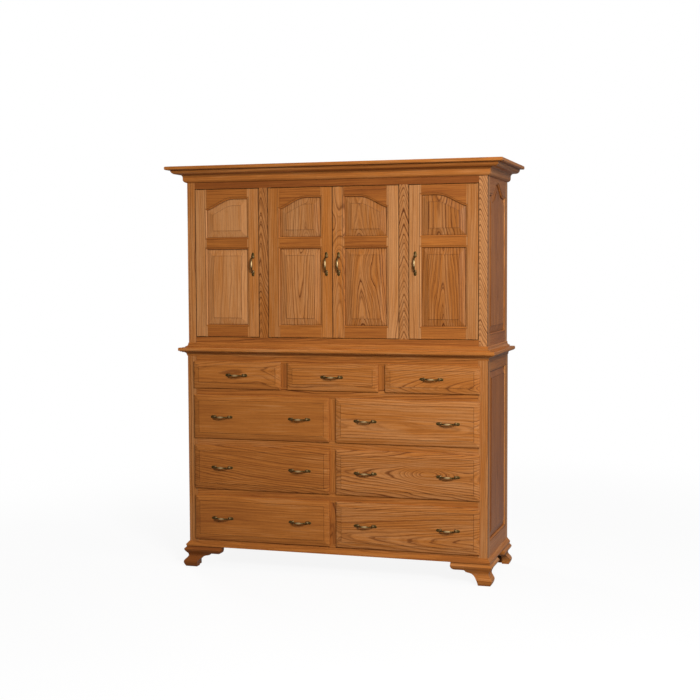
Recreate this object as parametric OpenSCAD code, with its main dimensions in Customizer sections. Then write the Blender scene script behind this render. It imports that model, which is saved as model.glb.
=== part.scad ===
// Mule chest in stained oak: a cabinet with four doors on a case with nine drawers.
// Millimetres, +Z up, front towards -Y, origin on the floor under the middle of the whole chest.

/* [Lower case] */
// Width of the lower case across its sides
base_w = 1575; // [1450:5:1750]
// Depth of the lower case from its face frame to its back
base_d = 530; // [480:5:600]
// Thickness of the boards of the face frames
frame_t = 20; // [18:0.5:24]
// Thickness of the frames of the sides
side_t = 20; // [18:0.5:24]
// Thickness of the back panels
back_t = 6; // [4:0.5:10]
// Width of the outer stiles of the lower face frame
base_stile_w = 48.5; // [44:0.5:75]
// Width of the upright muntins between drawers
muntin_w = 56; // [44:1:66]
// Width of the rail above the top row of drawers
rail_1_w = 59; // [50:1:80]
// Width of the rail under the top row
rail_2_w = 55; // [42:1:70]
// Width of the rail under the second row
rail_3_w = 56; // [42:1:70]
// Width of the rail under the third row
rail_4_w = 56; // [42:1:70]
// Width of the rail under the bottom row
rail_5_w = 49; // [30:1:60]
// Height of the drawer openings of the top row
row_1_h = 118; // [100:1:150]
// Height of the drawer openings of the second row
row_2_h = 204; // [150:1:240]
// Height of the drawer openings of the third row
row_3_h = 206; // [150:1:240]
// Height of the drawer openings of the bottom row
row_4_h = 210; // [150:1:240]

/* [Drawers] */
// Thickness of a drawer front
front_t = 22; // [20:0.5:25]
// How far a drawer front stands proud of the face frame
front_proud = 18; // [13:0.5:18]
// How far a drawer front laps over the face frame
front_lap = 10; // [6:0.5:14]
// Width of the raised bevel round a drawer front
front_bevel_w = 28; // [20:1:34]
// Height of the thin outer edge of the bevel
front_edge_h = 10; // [5:0.5:10]
// Drop of the small step between the field and the bevel
front_step = 2; // [0.6:0.1:2.5]
// Play of a drawer front's back in its opening
front_play = 1; // [0.5:0.1:2]
// Thickness of the drawer box sides, inner front and back
box_side_t = 13; // [10:0.5:16]
// Thickness of the drawer bottom
box_bottom_t = 6; // [4:0.5:9]
// Height of the bottom's groove above the lower edge of the sides
box_groove_z = 10; // [8:0.5:14]
// Depth of the groove that holds the bottom
box_groove_d = 5; // [3:0.5:6]
// Play between a drawer box and each side of its opening
box_play = 1.5; // [1:0.1:3]
// Head room over a drawer box in its opening
box_head_room = 12; // [6:1:20]
// Free space behind a drawer box
box_back_room = 54; // [30:1:90]
// Running gap under a drawer box and behind a front
run_gap = 0.3; // [0.2:0.05:0.5]

/* [Web frames] */
// Thickness of the web frames and their runners
web_t = 20; // [16:0.5:24]
// Width of the front and back boards of a web frame
web_w = 60; // [45:1:80]
// How far a runner reaches under a drawer
runner_ledge = 26; // [20:1:40]
// Height of the guide strips on the runners
guide_h = 20; // [12:1:30]
// Thickness of the dust panels
dust_t = 6; // [4:0.5:9]

/* [Upper cabinet] */
// Set-in of the upper cabinet's sides from the sides of the lower case
upper_inset = 5; // [0:1:15]
// Set-back of its face frame behind the lower one
upper_setback = 5; // [0:1:15]
// Width of its outer stiles
upper_stile_w = 42; // [36:1:60]
// Width of the posts beside the middle pair of doors
post_w = 47; // [40:1:70]
// Width of the opening for the middle pair of doors
centre_open_w = 687; // [600:1:760]
// Height of the door openings
door_open_h = 757; // [650:1:860]
// Width of its bottom rail
upper_rail_bottom_w = 55; // [45:1:75]
// Width of its top rail, mostly behind the crown
upper_rail_top_w = 113; // [96:1:140]
// Thickness of the bottom, top, partitions and shelves
deck_t = 20; // [18:0.5:24]
// Height of the lower shelf above the cabinet floor
shelf_1_z = 280; // [200:5:330]
// Height of the upper shelf above the cabinet floor
shelf_2_z = 560; // [480:5:640]
// Set-back of the shelves behind the doors
shelf_set = 10; // [4:1:16]
// Play round a shelf
shelf_play = 1; // [0.5:0.1:2]
// Radius of a shelf pin
shelf_pin_r = 2.5; // [2:0.25:4]
// Length of a shelf pin
shelf_pin_len = 16; // [12:1:17]

/* [Doors] */
// Thickness of a door
door_t = 20; // [18:0.5:24]
// Gap round a door
door_gap = 3; // [2:0.1:4]
// Ease of a door's front corner beside its pivots, which lets it turn clear of the stile
door_ease = 2; // [1:0.25:4]
// Width of the door stiles
door_stile_w = 61; // [50:1:75]
// Width of the top rail at the high end of its arch
door_rail_top_w = 50; // [40:1:70]
// Width of the middle rail
door_rail_mid_w = 60; // [45:1:80]
// Width of the bottom rail
door_rail_bottom_w = 62; // [50:1:90]
// Height of the upper panel's opening at the high end of its arch
door_arch_open_h = 195; // [150:1:240]
// Drop of the arch from its high end to its low end
door_arch_drop = 56; // [30:1:80]

/* [Side frames] */
// Width of the front stile of each side, behind the face frame
side_stile_front_w = 40; // [30:1:60]
// Width of the back stile of each side
side_stile_back_w = 60; // [45:1:80]
// Width of the top rail of the lower sides
base_side_top_w = 81; // [60:1:120]
// Width of the bottom rail of the lower sides
base_side_bottom_w = 106; // [60:1:130]
// Width of the top rail of the upper sides at the shoulders of its arch
upper_side_top_w = 169; // [150:1:200]
// Width of the bottom rail of the upper sides
upper_side_bottom_w = 85; // [60:1:120]
// Rise of the cathedral arch above its shoulders
side_arch_rise = 61; // [30:1:75]

/* [Raised panels] */
// Depth of the groove that holds a panel
panel_groove_d = 8; // [6:0.5:10]
// Play left for a panel at the bottom of its groove
panel_play = 1; // [0.5:0.1:2]
// Thickness of a panel's tongue
tongue_t = 6; // [5:0.5:7]
// Depth of the tongue behind the face of the frame
tongue_set = 10; // [6:0.5:11]
// Depth of a panel's field behind the face of the frame
field_set = 1; // [0.5:0.1:2]
// Width of the flat between the frame and a panel's bevel
panel_flat_w = 4; // [2:0.5:8]
// Width of a panel's bevel
panel_bevel_w = 30; // [20:1:36]
// Width of the moulded edge round an opening
stick_w = 9; // [6:0.5:12]
// Depth of the moulded edge
stick_d = 6.5; // [4:0.1:8]
// Depth of the small step beside an edge or a field
quirk = 2; // [0.6:0.1:2.5]

/* [Crown moulding] */
// Radius of the bead at the bottom
crown_bead_r = 17; // [12:0.5:22]
// Height of the flat above the bead
crown_flat_h = 9; // [5:0.5:15]
// Radius of the cove
crown_cove_r = 16; // [12:0.5:22]
// Width of the fillet between cove and ovolo
crown_fillet_w = 11; // [6:0.5:16]
// Radius of the ovolo
crown_ovolo_r = 21; // [15:0.5:26]
// Overhang of the lip over the ovolo
crown_lip_w = 23; // [16:0.5:30]
// Thickness of the lip
crown_lip_h = 17; // [12:0.5:22]
// Ease of the lip's corners
crown_ease = 3; // [1:0.5:5]

/* [Waist and base mouldings] */
// Thickness of the waist board
waist_t = 20; // [18:0.5:26]
// Overhang of the waist board over the lower case
waist_over = 38; // [28:1:48]
// Height and depth of the small step under its nose
waist_step = 3; // [2:0.5:4]
// Radius of the lower edge of its nose
waist_low_r = 4; // [2:0.5:5]
// Radius of the upper edge of its nose
waist_high_r = 5; // [3:0.5:8]
// Radius of the cove under the waist board
waist_cove_r = 16; // [12:0.5:22]
// Width of the small lips beside the cove
waist_cove_lip = 3; // [2:0.5:5]
// Height of the moulding at the foot of the upper cabinet
upper_mould_h = 25; // [18:1:35]
// Its projection
upper_mould_w = 15; // [10:1:20]
// Height of the moulding round the bottom of the lower case
base_mould_h = 25; // [18:1:35]
// Its projection
base_mould_w = 15; // [12:1:20]

/* [Bracket feet] */
// Height of the feet, up to the bottom of the case
foot_h = 108; // [95:1:130]
// Length of a bracket along the case
bracket_len = 183; // [170:1:220]
// Projection of the foot under the case moulding
foot_notch = 12.7; // [10:0.5:15]
// Projection of the upper bulge of the ogee
foot_bulge = 23.4; // [18:0.5:30]
// Projection of the hollow of the ogee
foot_hollow = 5; // [2:0.5:10]
// Projection of the toe
foot_toe = 25.4; // [18:0.5:32]
// Projection of the sole
foot_sole = 15.7; // [12:0.5:18]
// Height of the toe above the floor
foot_toe_z = 25; // [18:1:30]
// Depth of the hollow below the top of the foot
foot_hollow_drop = 51; // [42:1:56]
// Depth of the bulge below the top of the foot
foot_bulge_drop = 17; // [12:1:24]
// Depth of the notch under the case moulding
foot_notch_drop = 4; // [2:0.5:8]
// Length of the sole along the case
sole_len = 45; // [35:1:60]
// Radius of the round end of a bracket
bracket_end_r = 20; // [15:0.5:26]
// Radius of the small cove between the lobes
bracket_cove_r = 10; // [8:0.5:12]
// Height of a bracket at its outer lobe
bracket_lobe_h = 37; // [30:1:45]
// Length of the flat under the outer lobe
bracket_lobe_len = 44; // [30:1:60]
// Step between the small cove and the heel's curve
bracket_step = 2; // [1:0.5:4]
// Size of the glue block inside a foot
glue_block = 25; // [20:1:50]
// Height of the glue block above the floor
glue_block_lift = 6; // [3:1:15]

/* [Pulls] */
// Distance between the posts of a pull
pull_centres = 76; // [70:1:96]
// Overall length of a pull over its leaves
pull_len = 120; // [110:1:140]
// Height of the bow's centre line above the face
pull_stand = 23; // [20:0.5:28]
// Radius of the bends of the bow
pull_bend_r = 10; // [8:0.5:12]
// Radius of the bow's bar
pull_bar_r = 3.2; // [2.5:0.1:4]
// Radius of the swelling in the middle
pull_swell_r = 5.6; // [4.5:0.1:7]
// Length of the ring at each end of the swelling
pull_ring_w = 2.2; // [1.5:0.1:3]
// Rise of that ring over the bar
pull_ring_rise = 1.8; // [1:0.1:2.4]
// Radius of the rosette under each post
rosette_r = 8.5; // [7:0.5:11]
// Height of the rosette
rosette_h = 3; // [2:0.25:4]
// Thickness of the leaf beyond each post
leaf_t = 2.4; // [1.6:0.2:3]
// Width of the leaf beyond each post
leaf_w = 11; // [8:0.5:14]
// Radius of the pull's screws
screw_r = 2; // [1.5:0.25:2.5]
// Height of their heads
screw_head_h = 2.6; // [2:0.2:3.4]
// Distance from the end of a large drawer front to its pull
pull_end_inset = 155; // [110:1:220]
// Height of the door pulls above the lower edge of the doors
door_pull_z = 368; // [250:1:480]

/* [Door pivots and catches] */
// Radius of a pivot pin
pivot_r = 3; // [2.5:0.25:4]
// Distance from the pivot axis to the door's face and hinge edge
pivot_inset = 6; // [5.5:0.25:7]
// Running gap between a pin and its bore
pivot_gap = 0.05; // [0.02:0.01:0.09]
// Depth of a pin in the door
pivot_seat = 20; // [14:1:30]
// Reach of a pin into the rail
pivot_reach = 12; // [8:1:20]
// Width of a door catch
catch_w = 45; // [30:1:60]
// Height of a door catch
catch_h = 25; // [18:1:35]
// Depth of a door catch
catch_t = 15; // [10:1:20]

/* [Hidden] */
// Hairline between two glued boards, which keeps each board a solid of its own
joint_line = 0.2;
// Play of a panel's tongue across its groove, and of a screw in its hole
fit_play = 0.1;
// Extra reach of a cutting shape past the surface that it cuts
cut = 1;

half_turn = 180;
// Angle where the heel's curve of a bracket ends at the small cove
heel_end = 105;
arch_steps = 14;
arc_steps = 6;

rails = [rail_1_w, rail_2_w, rail_3_w, rail_4_w, rail_5_w];
rows = [row_1_h, row_2_h, row_3_h, row_4_h];
row_counts = [3, 2, 2, 2];
base_h = sum(rails) + sum(rows);
base_hx = base_w / 2;
base_open_hx = base_hx - base_stile_w;
base_in_hx = base_hx - side_t;
base_in_y = base_d - back_t;
base_z = foot_h;
base_top = base_z + base_h;

upper_z = base_top + waist_t;
upper_h = upper_rail_bottom_w + door_open_h + upper_rail_top_w;
upper_top = upper_z + upper_h;
upper_hx = base_hx - upper_inset;
upper_in_hx = upper_hx - side_t;
upper_in_y = upper_setback + frame_t;
upper_open_hx = upper_hx - upper_stile_w;
centre_hx = centre_open_w / 2;
post_x = centre_hx + post_w / 2;
door_open_z = upper_z + upper_rail_bottom_w;
door_open_top = door_open_z + door_open_h;
door_h = door_open_h - 2 * door_gap;
floor_z = door_open_z;

crown_h = crown_bead_r + crown_flat_h + crown_cove_r + crown_ovolo_r + crown_lip_h;
crown_over = crown_bead_r + crown_cove_r + crown_fillet_w + crown_ovolo_r + crown_lip_w;
frame_shift = -(base_d + upper_setback - crown_over) / 2;

rabbet_t = front_t - front_proud;
box_front_y = rabbet_t;
box_back_y = base_in_y - box_back_room;
hole_r = screw_r + fit_play;
pivot_y = upper_setback + pivot_inset;
// Places of the shelf pins along the depth of the cabinet
pin_ys = [upper_in_y + side_stile_front_w / 2, base_d - side_stile_back_w / 2 - back_t];
shelf_zs = [shelf_1_z, shelf_2_z];

oak = [0.70, 0.43, 0.22];
oak_inside = [0.80, 0.62, 0.42];
plywood = [0.72, 0.56, 0.38];
dark_brass = [0.42, 0.31, 0.16];

// Drawers: name, row from the top, place in the row
DRAWERS = [
    ["top_left_drawer", 0, 0],
    ["top_middle_drawer", 0, 1],
    ["top_right_drawer", 0, 2],
    ["second_left_drawer", 1, 0],
    ["second_right_drawer", 1, 1],
    ["third_left_drawer", 2, 0],
    ["third_right_drawer", 2, 1],
    ["bottom_left_drawer", 3, 0],
    ["bottom_right_drawer", 3, 1],
];

// Kinds of opening: square, an arch that climbs to the right or to the left, a cathedral arch
SQUARE = 0;
CLIMBS_RIGHT = 1;
CLIMBS_LEFT = 2;
CATHEDRAL = 3;

// Doors: name, left edge, right edge, hinge side (-1 left, 1 right), kind of arch
DOORS = [
    ["left_door", -upper_open_hx + door_gap, -centre_hx - post_w - door_gap, -1, CLIMBS_RIGHT],
    ["centre_left_door", -centre_hx + door_gap, -door_gap / 2, -1, CLIMBS_RIGHT],
    ["centre_right_door", door_gap / 2, centre_hx - door_gap, 1, CLIMBS_LEFT],
    ["right_door", centre_hx + post_w + door_gap, upper_open_hx - door_gap, 1, CLIMBS_LEFT],
];

CASE_NODES = [
    "base_face_frame", "base_left_side", "base_right_side", "base_back_panel", "base_web_frames",
    "base_moulding", "front_left_foot", "front_right_foot", "back_left_foot", "back_right_foot",
    "waist_board", "waist_cove", "upper_face_frame", "upper_left_side", "upper_right_side",
    "upper_back_panel", "upper_case_boards", "upper_shelves", "upper_fittings",
    "upper_base_moulding", "crown_moulding",
];

// Plain helpers
function sum(list, i = 0) = i < len(list) ? list[i] + sum(list, i + 1) : 0;

function arc(centre, r, from, to) =
    [for (i = [0 : arc_steps])
        let (a = from + (to - from) * i / arc_steps)
        centre + r * [cos(a), sin(a)]];

// Bottom of the drawer openings of a row
function row_z(row) =
    base_z + rail_5_w + sum([for (i = [row + 1 : 1 : len(rows) - 1]) rows[i] + rails[i]]);

function open_w(row) =
    (2 * base_open_hx - (row_counts[row] - 1) * muntin_w) / row_counts[row];

function open_x(row, place) = -base_open_hx + place * (open_w(row) + muntin_w);

// A board between two opposite corners
module slab(low, high) {
    translate(low) cube(high - low);
}

// Case coordinates have y = 0 at the front of the lower face frame
module in_case() {
    translate([0, frame_shift, 0]) children();
}

// Local x to the right, y up and z out of the front
module on_front(place) {
    translate(place) rotate([90, 0, 0]) children();
}

// Local x to the back, y up and z out of the right side
module on_right(place) {
    translate(place) rotate([90, 0, 90]) children();
}

module both_sides() {
    children();
    mirror([1, 0, 0]) children();
}

// Openings and raised panels
// An opening is [left, bottom, right, top, kind, drop], drawn on the face of its frame
// Share of the opening's width that the climb of a half arch takes, and the phase that it starts at
half_run = 0.66;
half_lead = 35;
// Share of the width from the middle of a cathedral arch to its shoulder
shoulder_run = 0.36;

function half_arch(u) =
    let (turn = half_lead + (half_turn - half_lead) * min(1, u / half_run))
    (cos(half_lead) - cos(turn)) / (cos(half_lead) + 1);

function cathedral(u) = (1 + cos(half_turn * min(1, abs(u - 0.5) / shoulder_run))) / 2;

function arch_level(kind, u) =
    kind == CLIMBS_RIGHT ? half_arch(u)
    : kind == CLIMBS_LEFT ? half_arch(1 - u)
    : kind == CATHEDRAL ? cathedral(u)
    : 1;

function arch_y(o, x) =
    let (u = min(1, max(0, (x - o[0]) / (o[2] - o[0]))))
    o[3] - o[5] * (1 - arch_level(o[4], u));

function arch_stretch(o, x) =
    let (slope = (arch_y(o, x + cut) - arch_y(o, x - cut)) / (2 * cut))
    sqrt(1 + slope * slope);

// Even steps from one value to another
function steps(from, to) = [for (i = [0 : arch_steps]) from + (to - from) * i / arch_steps];

// Places along the top of an opening from right to left, close together where it curves
function top_xs(o, left, right) =
    let (w = o[2] - o[0], mid = (o[0] + o[2]) / 2)
    o[4] == CLIMBS_RIGHT ? concat([right], steps(o[0] + w * half_run, left))
    : o[4] == CLIMBS_LEFT ? concat(steps(right, o[2] - w * half_run), [left])
    : o[4] == CATHEDRAL ? concat([right], steps(mid + w * shoulder_run, mid - w * shoulder_run), [left])
    : [right, left];

// Outline of an opening, drawn in by an inset or out by a negative one
function outline(o, inset) =
    let (
        left = o[0] + inset,
        right = o[2] - inset,
        low = o[1] + inset
    )
    concat(
        [[left, low], [right, low]],
        [for (x = top_xs(o, left, right)) [x, arch_y(o, x) - inset * arch_stretch(o, x)]]
    );

// A closed solid through rings of equal count, each [height, outline], from the back to the front
module ring_solid(rings) {
    n = len(rings[0][1]);
    last = len(rings) - 1;
    points = [for (ring = rings) for (p = ring[1]) [p[0], p[1], ring[0]]];
    walls = [for (k = [0 : last - 1]) for (i = [0 : n - 1])
        let (
            a = k * n + i,
            b = k * n + (i + 1) % n,
            c = b + n,
            d = a + n
        )
        each [[a, d, c], [a, c, b]]];
    back_cap = [for (i = [1 : n - 2]) [0, i, i + 1]];
    front_cap = [for (i = [1 : n - 2]) [last * n, last * n + i + 1, last * n + i]];
    polyhedron(points, concat(back_cap, walls, front_cap));
}

// A raised panel with its tongue in the groove of the frame
module raised_panel(o) {
    tongue = panel_play - panel_groove_d;
    ring_solid([
        [-tongue_set - tongue_t, outline(o, tongue)],
        [-tongue_set, outline(o, tongue)],
        [-tongue_set, outline(o, panel_flat_w)],
        [-field_set - quirk, outline(o, panel_flat_w + panel_bevel_w)],
        [-field_set, outline(o, panel_flat_w + panel_bevel_w)],
    ]);
}

// What is cut from a frame for one opening: the way through, its moulded edge and the groove
module opening_cut(o, thickness) {
    ring_solid([
        [-thickness - cut, outline(o, 0)],
        [-stick_d, outline(o, 0)],
        [-stick_d / 2, outline(o, -stick_w / 5)],
        [-quirk, outline(o, -stick_w / 2)],
        [-quirk, outline(o, -stick_w)],
        [cut, outline(o, -stick_w)],
    ]);
    translate([0, 0, -tongue_set - tongue_t - fit_play])
        linear_extrude(tongue_t + 2 * fit_play) polygon(outline(o, -panel_groove_d));
}

// Two stiles and the rails between them, each rail [bottom, top], with its openings cut
module framed(size, thickness, left_w, right_w, rail_list, openings) {
    difference() {
        union() {
            slab([0, 0, -thickness], [left_w, size[1], 0]);
            slab([size[0] - right_w, 0, -thickness], [size[0], size[1], 0]);
            for (r = rail_list)
                slab([left_w + joint_line, r[0], -thickness],
                     [size[0] - right_w - joint_line, r[1], 0]);
        }
        for (o = openings) opening_cut(o, thickness);
    }
}

// Mouldings
// Three mitred lengths of a profile [projection, height] round the front and sides of a case
module moulding(profile, hx, front_y, back_y, z) {
    reach = 2 * max([for (p = profile) max(p)]);
    translate([0, 0, z]) {
        intersection() {
            rotate([90, 0, 90]) translate([0, 0, -hx - reach]) linear_extrude(2 * (hx + reach))
                polygon([for (p = profile) [front_y - p[0], p[1]]]);
            linear_extrude(reach) polygon([
                [joint_line - hx, front_y],
                [joint_line - hx - reach, front_y - reach],
                [hx + reach - joint_line, front_y - reach],
                [hx - joint_line, front_y],
            ]);
        }
        both_sides() intersection() {
            translate([0, back_y, 0]) rotate([90, 0, 0]) linear_extrude(back_y - front_y + reach)
                polygon([for (p = profile) [hx + p[0], p[1]]]);
            linear_extrude(reach) polygon([
                [hx, front_y],
                [hx + reach, front_y - reach],
                [hx + reach, back_y],
                [hx, back_y],
            ]);
        }
    }
}

function crown_profile() =
    let (
        cove_x = crown_bead_r + crown_cove_r,
        cove_y = crown_bead_r + crown_flat_h,
        ovolo_x = cove_x + crown_fillet_w,
        ovolo_y = cove_y + crown_cove_r + crown_ovolo_r
    )
    concat(
        arc([0, crown_bead_r], crown_bead_r, -90, 0),
        arc([cove_x, cove_y], crown_cove_r, half_turn, 90),
        arc([ovolo_x, ovolo_y], crown_ovolo_r, -90, 0),
        [[crown_over - crown_ease, ovolo_y], [crown_over, ovolo_y + crown_ease]],
        [[crown_over, crown_h - crown_ease], [crown_over - crown_ease, crown_h], [0, crown_h]]
    );

// Cove with a lip at each end, under the waist board
function waist_cove_profile() =
    let (c = waist_cove_lip + waist_cove_r)
    concat(
        [[0, 0], [waist_cove_lip, 0]],
        arc([c, waist_cove_lip], waist_cove_r, half_turn, 90),
        [[c + waist_cove_lip, c], [c + waist_cove_lip, waist_cove_h()], [0, waist_cove_h()]]
    );

function waist_cove_h() = waist_cove_r + 2 * waist_cove_lip;

// Small cove that spreads towards the waist board
function upper_mould_profile() =
    let (
        lip = upper_mould_h / 4,
        top = upper_mould_w / 5,
        r = upper_mould_w - top
    )
    concat(
        [[0, 0], [upper_mould_w, 0]],
        arc([upper_mould_w, lip + r], r, -90, -half_turn),
        [[top, upper_mould_h - top], [0, upper_mould_h]]
    );

// Plain sloping moulding
function base_mould_profile() =
    let (lip = base_mould_h / 3, top = base_mould_w / 5)
    [
        [0, 0],
        [base_mould_w, 0],
        [base_mould_w, lip],
        [base_mould_w - top, lip + top],
        [top, base_mould_h - top],
        [0, base_mould_h],
    ];

// Nose of the waist board, from its lower step to its top, as [projection, height]
function waist_nose() =
    let (low_x = waist_over - waist_low_r, high_x = waist_over - waist_high_r)
    concat(
        [[low_x - waist_step, 0], [low_x - waist_step, waist_step]],
        arc([low_x, waist_step + waist_low_r], waist_low_r, -90, 0),
        arc([high_x, waist_t - waist_high_r], waist_high_r, 0, 90)
    );

// Lower case
module base_face_frame() {
    color(oak) in_case() {
        both_sides() slab([base_open_hx, 0, base_z], [base_hx, frame_t, base_top]);
        rail_hx = base_open_hx - joint_line;
        slab([-rail_hx, 0, base_top - rail_1_w], [rail_hx, frame_t, base_top]);
        for (row = [0 : len(rows) - 1]) {
            slab([-rail_hx, 0, row_z(row) - rails[row + 1]], [rail_hx, frame_t, row_z(row)]);
            for (place = [1 : row_counts[row] - 1]) {
                x = open_x(row, place);
                slab([x - muntin_w, 0, row_z(row) + joint_line],
                     [x, frame_t, row_z(row) + rows[row] - joint_line]);
            }
        }
    }
}

module base_side() {
    size = [base_d - frame_t, base_h];
    o = [side_stile_front_w, base_side_bottom_w, size[0] - side_stile_back_w,
        size[1] - base_side_top_w, SQUARE, 0];
    on_right([base_hx, frame_t, base_z]) {
        framed(size, side_t, side_stile_front_w, side_stile_back_w,
            [[0, base_side_bottom_w], [size[1] - base_side_top_w, size[1]]], [o]);
        raised_panel(o);
    }
}

module base_right_side() {
    color(oak) in_case() base_side();
}

module base_left_side() {
    color(oak) in_case() mirror([1, 0, 0]) base_side();
}

module base_back_panel() {
    hx = base_in_hx - joint_line;
    color(plywood) in_case() slab([-hx, base_in_y, base_z], [hx, base_d, base_top]);
}

// One web frame: front and back boards, runners, dust panels, and guides where drawers run on it
module web_frame(count, top_z, guided) {
    span = (2 * base_open_hx - (count - 1) * muntin_w) / count;
    end_x = base_in_hx - joint_line;
    front_y = frame_t + web_w;
    back_y = base_in_y - web_w;
    low = top_z - web_t;
    dust_z = low + (web_t - dust_t) / 2;
    slab([-end_x, frame_t + joint_line, low], [end_x, front_y, top_z]);
    slab([-end_x, back_y, low], [end_x, base_in_y - joint_line, top_z]);
    for (i = [0 : count]) {
        x0 = i == 0 ? -end_x : -base_open_hx + i * (span + muntin_w) - muntin_w;
        x1 = i == count ? end_x : -base_open_hx + i * (span + muntin_w);
        run_x0 = i == 0 ? x0 : x0 - runner_ledge;
        run_x1 = i == count ? x1 : x1 + runner_ledge;
        slab([run_x0, front_y + joint_line, low], [run_x1, back_y - joint_line, top_z]);
        if (guided)
            slab([x0, frame_t + joint_line, top_z + joint_line],
                 [x1, base_in_y - joint_line, top_z + guide_h]);
        if (i < count)
            slab([run_x1 + joint_line, front_y + joint_line, dust_z],
                 [x1 + span - runner_ledge - joint_line, back_y - joint_line, dust_z + dust_t]);
    }
}

module base_web_frames() {
    color(oak_inside) in_case() {
        for (row = [0 : len(rows) - 1]) web_frame(row_counts[row], row_z(row), true);
        web_frame(row_counts[1], base_top, false);
    }
}

module base_moulding() {
    color(oak) in_case() moulding(base_mould_profile(), base_hx, 0, base_d, base_z);
}

module waist_board() {
    nose = waist_nose();
    hx = base_hx;
    color(oak) in_case() translate([0, 0, base_top]) intersection() {
        rotate([90, 0, 90]) translate([0, 0, -base_w]) linear_extrude(2 * base_w)
            polygon(concat([for (p = nose) [-p[0], p[1]]], [[base_d, waist_t], [base_d, 0]]));
        translate([0, base_d, 0]) rotate([90, 0, 0]) linear_extrude(base_d + 2 * waist_over)
            polygon(concat(
                [for (p = nose) [hx + p[0], p[1]]],
                [for (i = [len(nose) - 1 : -1 : 0]) [-hx - nose[i][0], nose[i][1]]]
            ));
    }
}

module waist_cove() {
    color(oak) in_case()
        moulding(waist_cove_profile(), base_hx, 0, base_d, base_top - waist_cove_h());
}

// Bracket feet
// Ogee of a foot as [projection, height], eased between its named projections
function foot_ogee() =
    let (keys = [
        [foot_sole, 0],
        [foot_toe, foot_toe_z],
        [foot_hollow, foot_h - foot_hollow_drop],
        [foot_bulge, foot_h - foot_bulge_drop],
        [foot_notch, foot_h - foot_notch_drop],
    ])
    concat(
        [for (k = [0 : len(keys) - 2]) for (i = [0 : arc_steps - 1])
            let (t = i / arc_steps, e = (1 - cos(half_turn * t)) / 2)
            [keys[k][0] + (keys[k + 1][0] - keys[k][0]) * (k == 0 ? sin(90 * t) : e),
             keys[k][1] + (keys[k + 1][1] - keys[k][1]) * t]],
        [keys[len(keys) - 1], [foot_notch, foot_h]]
    );

// Scrolled lower edge of a bracket as [distance from the corner, height]
function bracket_scroll() =
    let (
        lobe_z = foot_h - bracket_lobe_h,
        end_x = bracket_len - bracket_end_r,
        cove_x = end_x - bracket_lobe_len,
        heel_r = lobe_z - bracket_cove_r - bracket_step,
        heel_x = sole_len + heel_r
    )
    concat(
        [[bracket_len, foot_h]],
        arc([end_x, lobe_z + bracket_end_r], bracket_end_r, 0, -90),
        arc([cove_x, lobe_z - bracket_cove_r], bracket_cove_r, 90, half_turn),
        arc([heel_x, 0], heel_r, heel_end, half_turn),
        [[-foot_h, 0], [-foot_h, foot_h]]
    );

// A wing runs along local x from the corner of the case, with its face towards -y
module foot_wing(plan, face) {
    intersection() {
        linear_extrude(foot_h) polygon(plan);
        translate([-foot_h, 0, 0]) rotate([90, 0, 90]) linear_extrude(foot_h + bracket_len)
            polygon(concat([for (p = face) [-p[0], p[1]]], [[frame_t, foot_h], [frame_t, 0]]));
        translate([0, frame_t, 0]) rotate([90, 0, 0]) linear_extrude(frame_t + foot_h)
            polygon(bracket_scroll());
    }
}

function mitred_plan() = [
    [frame_t + joint_line / 2, frame_t],
    [joint_line / 2 - foot_h / 2, -foot_h / 2],
    [bracket_len, -foot_h / 2],
    [bracket_len, frame_t],
];

function square_plan(start) = [
    [start, frame_t],
    [start, -foot_h / 2],
    [bracket_len, -foot_h / 2],
    [bracket_len, frame_t],
];

// Block inside the corner of a foot, up to the underside of the lowest web frame
module foot_block() {
    top = row_z(len(rows) - 1) - web_t;
    start = frame_t + joint_line;
    slab([start, start, glue_block_lift], [start + glue_block, start + glue_block, top]);
}

module front_foot() {
    translate([base_hx, 0, 0]) {
        mirror([1, 0, 0]) {
            foot_wing(mitred_plan(), foot_ogee());
            foot_block();
        }
        rotate([0, 0, 90]) foot_wing(mitred_plan(), foot_ogee());
    }
}

module back_foot() {
    plain = [[0, 0], [0, foot_h]];
    translate([base_hx, base_d, 0]) {
        mirror([0, 1, 0]) rotate([0, 0, 90]) foot_wing(square_plan(0), foot_ogee());
        mirror([1, 0, 0]) mirror([0, 1, 0]) {
            foot_wing(square_plan(frame_t + joint_line), plain);
            foot_block();
        }
    }
}

module front_right_foot() {
    color(oak) in_case() front_foot();
}

module front_left_foot() {
    color(oak) in_case() mirror([1, 0, 0]) front_foot();
}

module back_right_foot() {
    color(oak) in_case() back_foot();
}

module back_left_foot() {
    color(oak) in_case() mirror([1, 0, 0]) back_foot();
}

// Upper cabinet
// Where the pivot axis of a door stands
function pivot_x(d) = d[3] < 0 ? d[1] + pivot_inset : d[2] - pivot_inset;

module upper_face_frame() {
    y0 = upper_setback;
    y1 = upper_in_y;
    rail_hx = upper_open_hx - joint_line;
    depth = pivot_reach + cut;
    color(oak) in_case() {
        both_sides() {
            slab([upper_open_hx, y0, upper_z], [upper_hx, y1, upper_top]);
            slab([centre_hx, y0, door_open_z + joint_line],
                 [centre_hx + post_w, y1, door_open_top - joint_line]);
        }
        difference() {
            union() {
                slab([-rail_hx, y0, upper_z], [rail_hx, y1, door_open_z]);
                slab([-rail_hx, y0, door_open_top], [rail_hx, y1, upper_top]);
            }
            for (d = DOORS) {
                translate([pivot_x(d), pivot_y, door_open_top - cut])
                    cylinder(r = pivot_r + pivot_gap, h = depth + cut, $fn = 48);
                translate([pivot_x(d), pivot_y, door_open_z - depth])
                    cylinder(r = pivot_r + pivot_gap, h = depth + cut, $fn = 48);
            }
        }
    }
}

// Bores for the shelf pins in one wall, from x0 to x1
module pin_bores(x0, x1) {
    for (y = pin_ys)
        for (z = shelf_zs)
            translate([x0, y, pin_z(z)]) rotate([0, 90, 0])
                cylinder(r = shelf_pin_r + fit_play, h = x1 - x0, $fn = 32);
}

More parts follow.
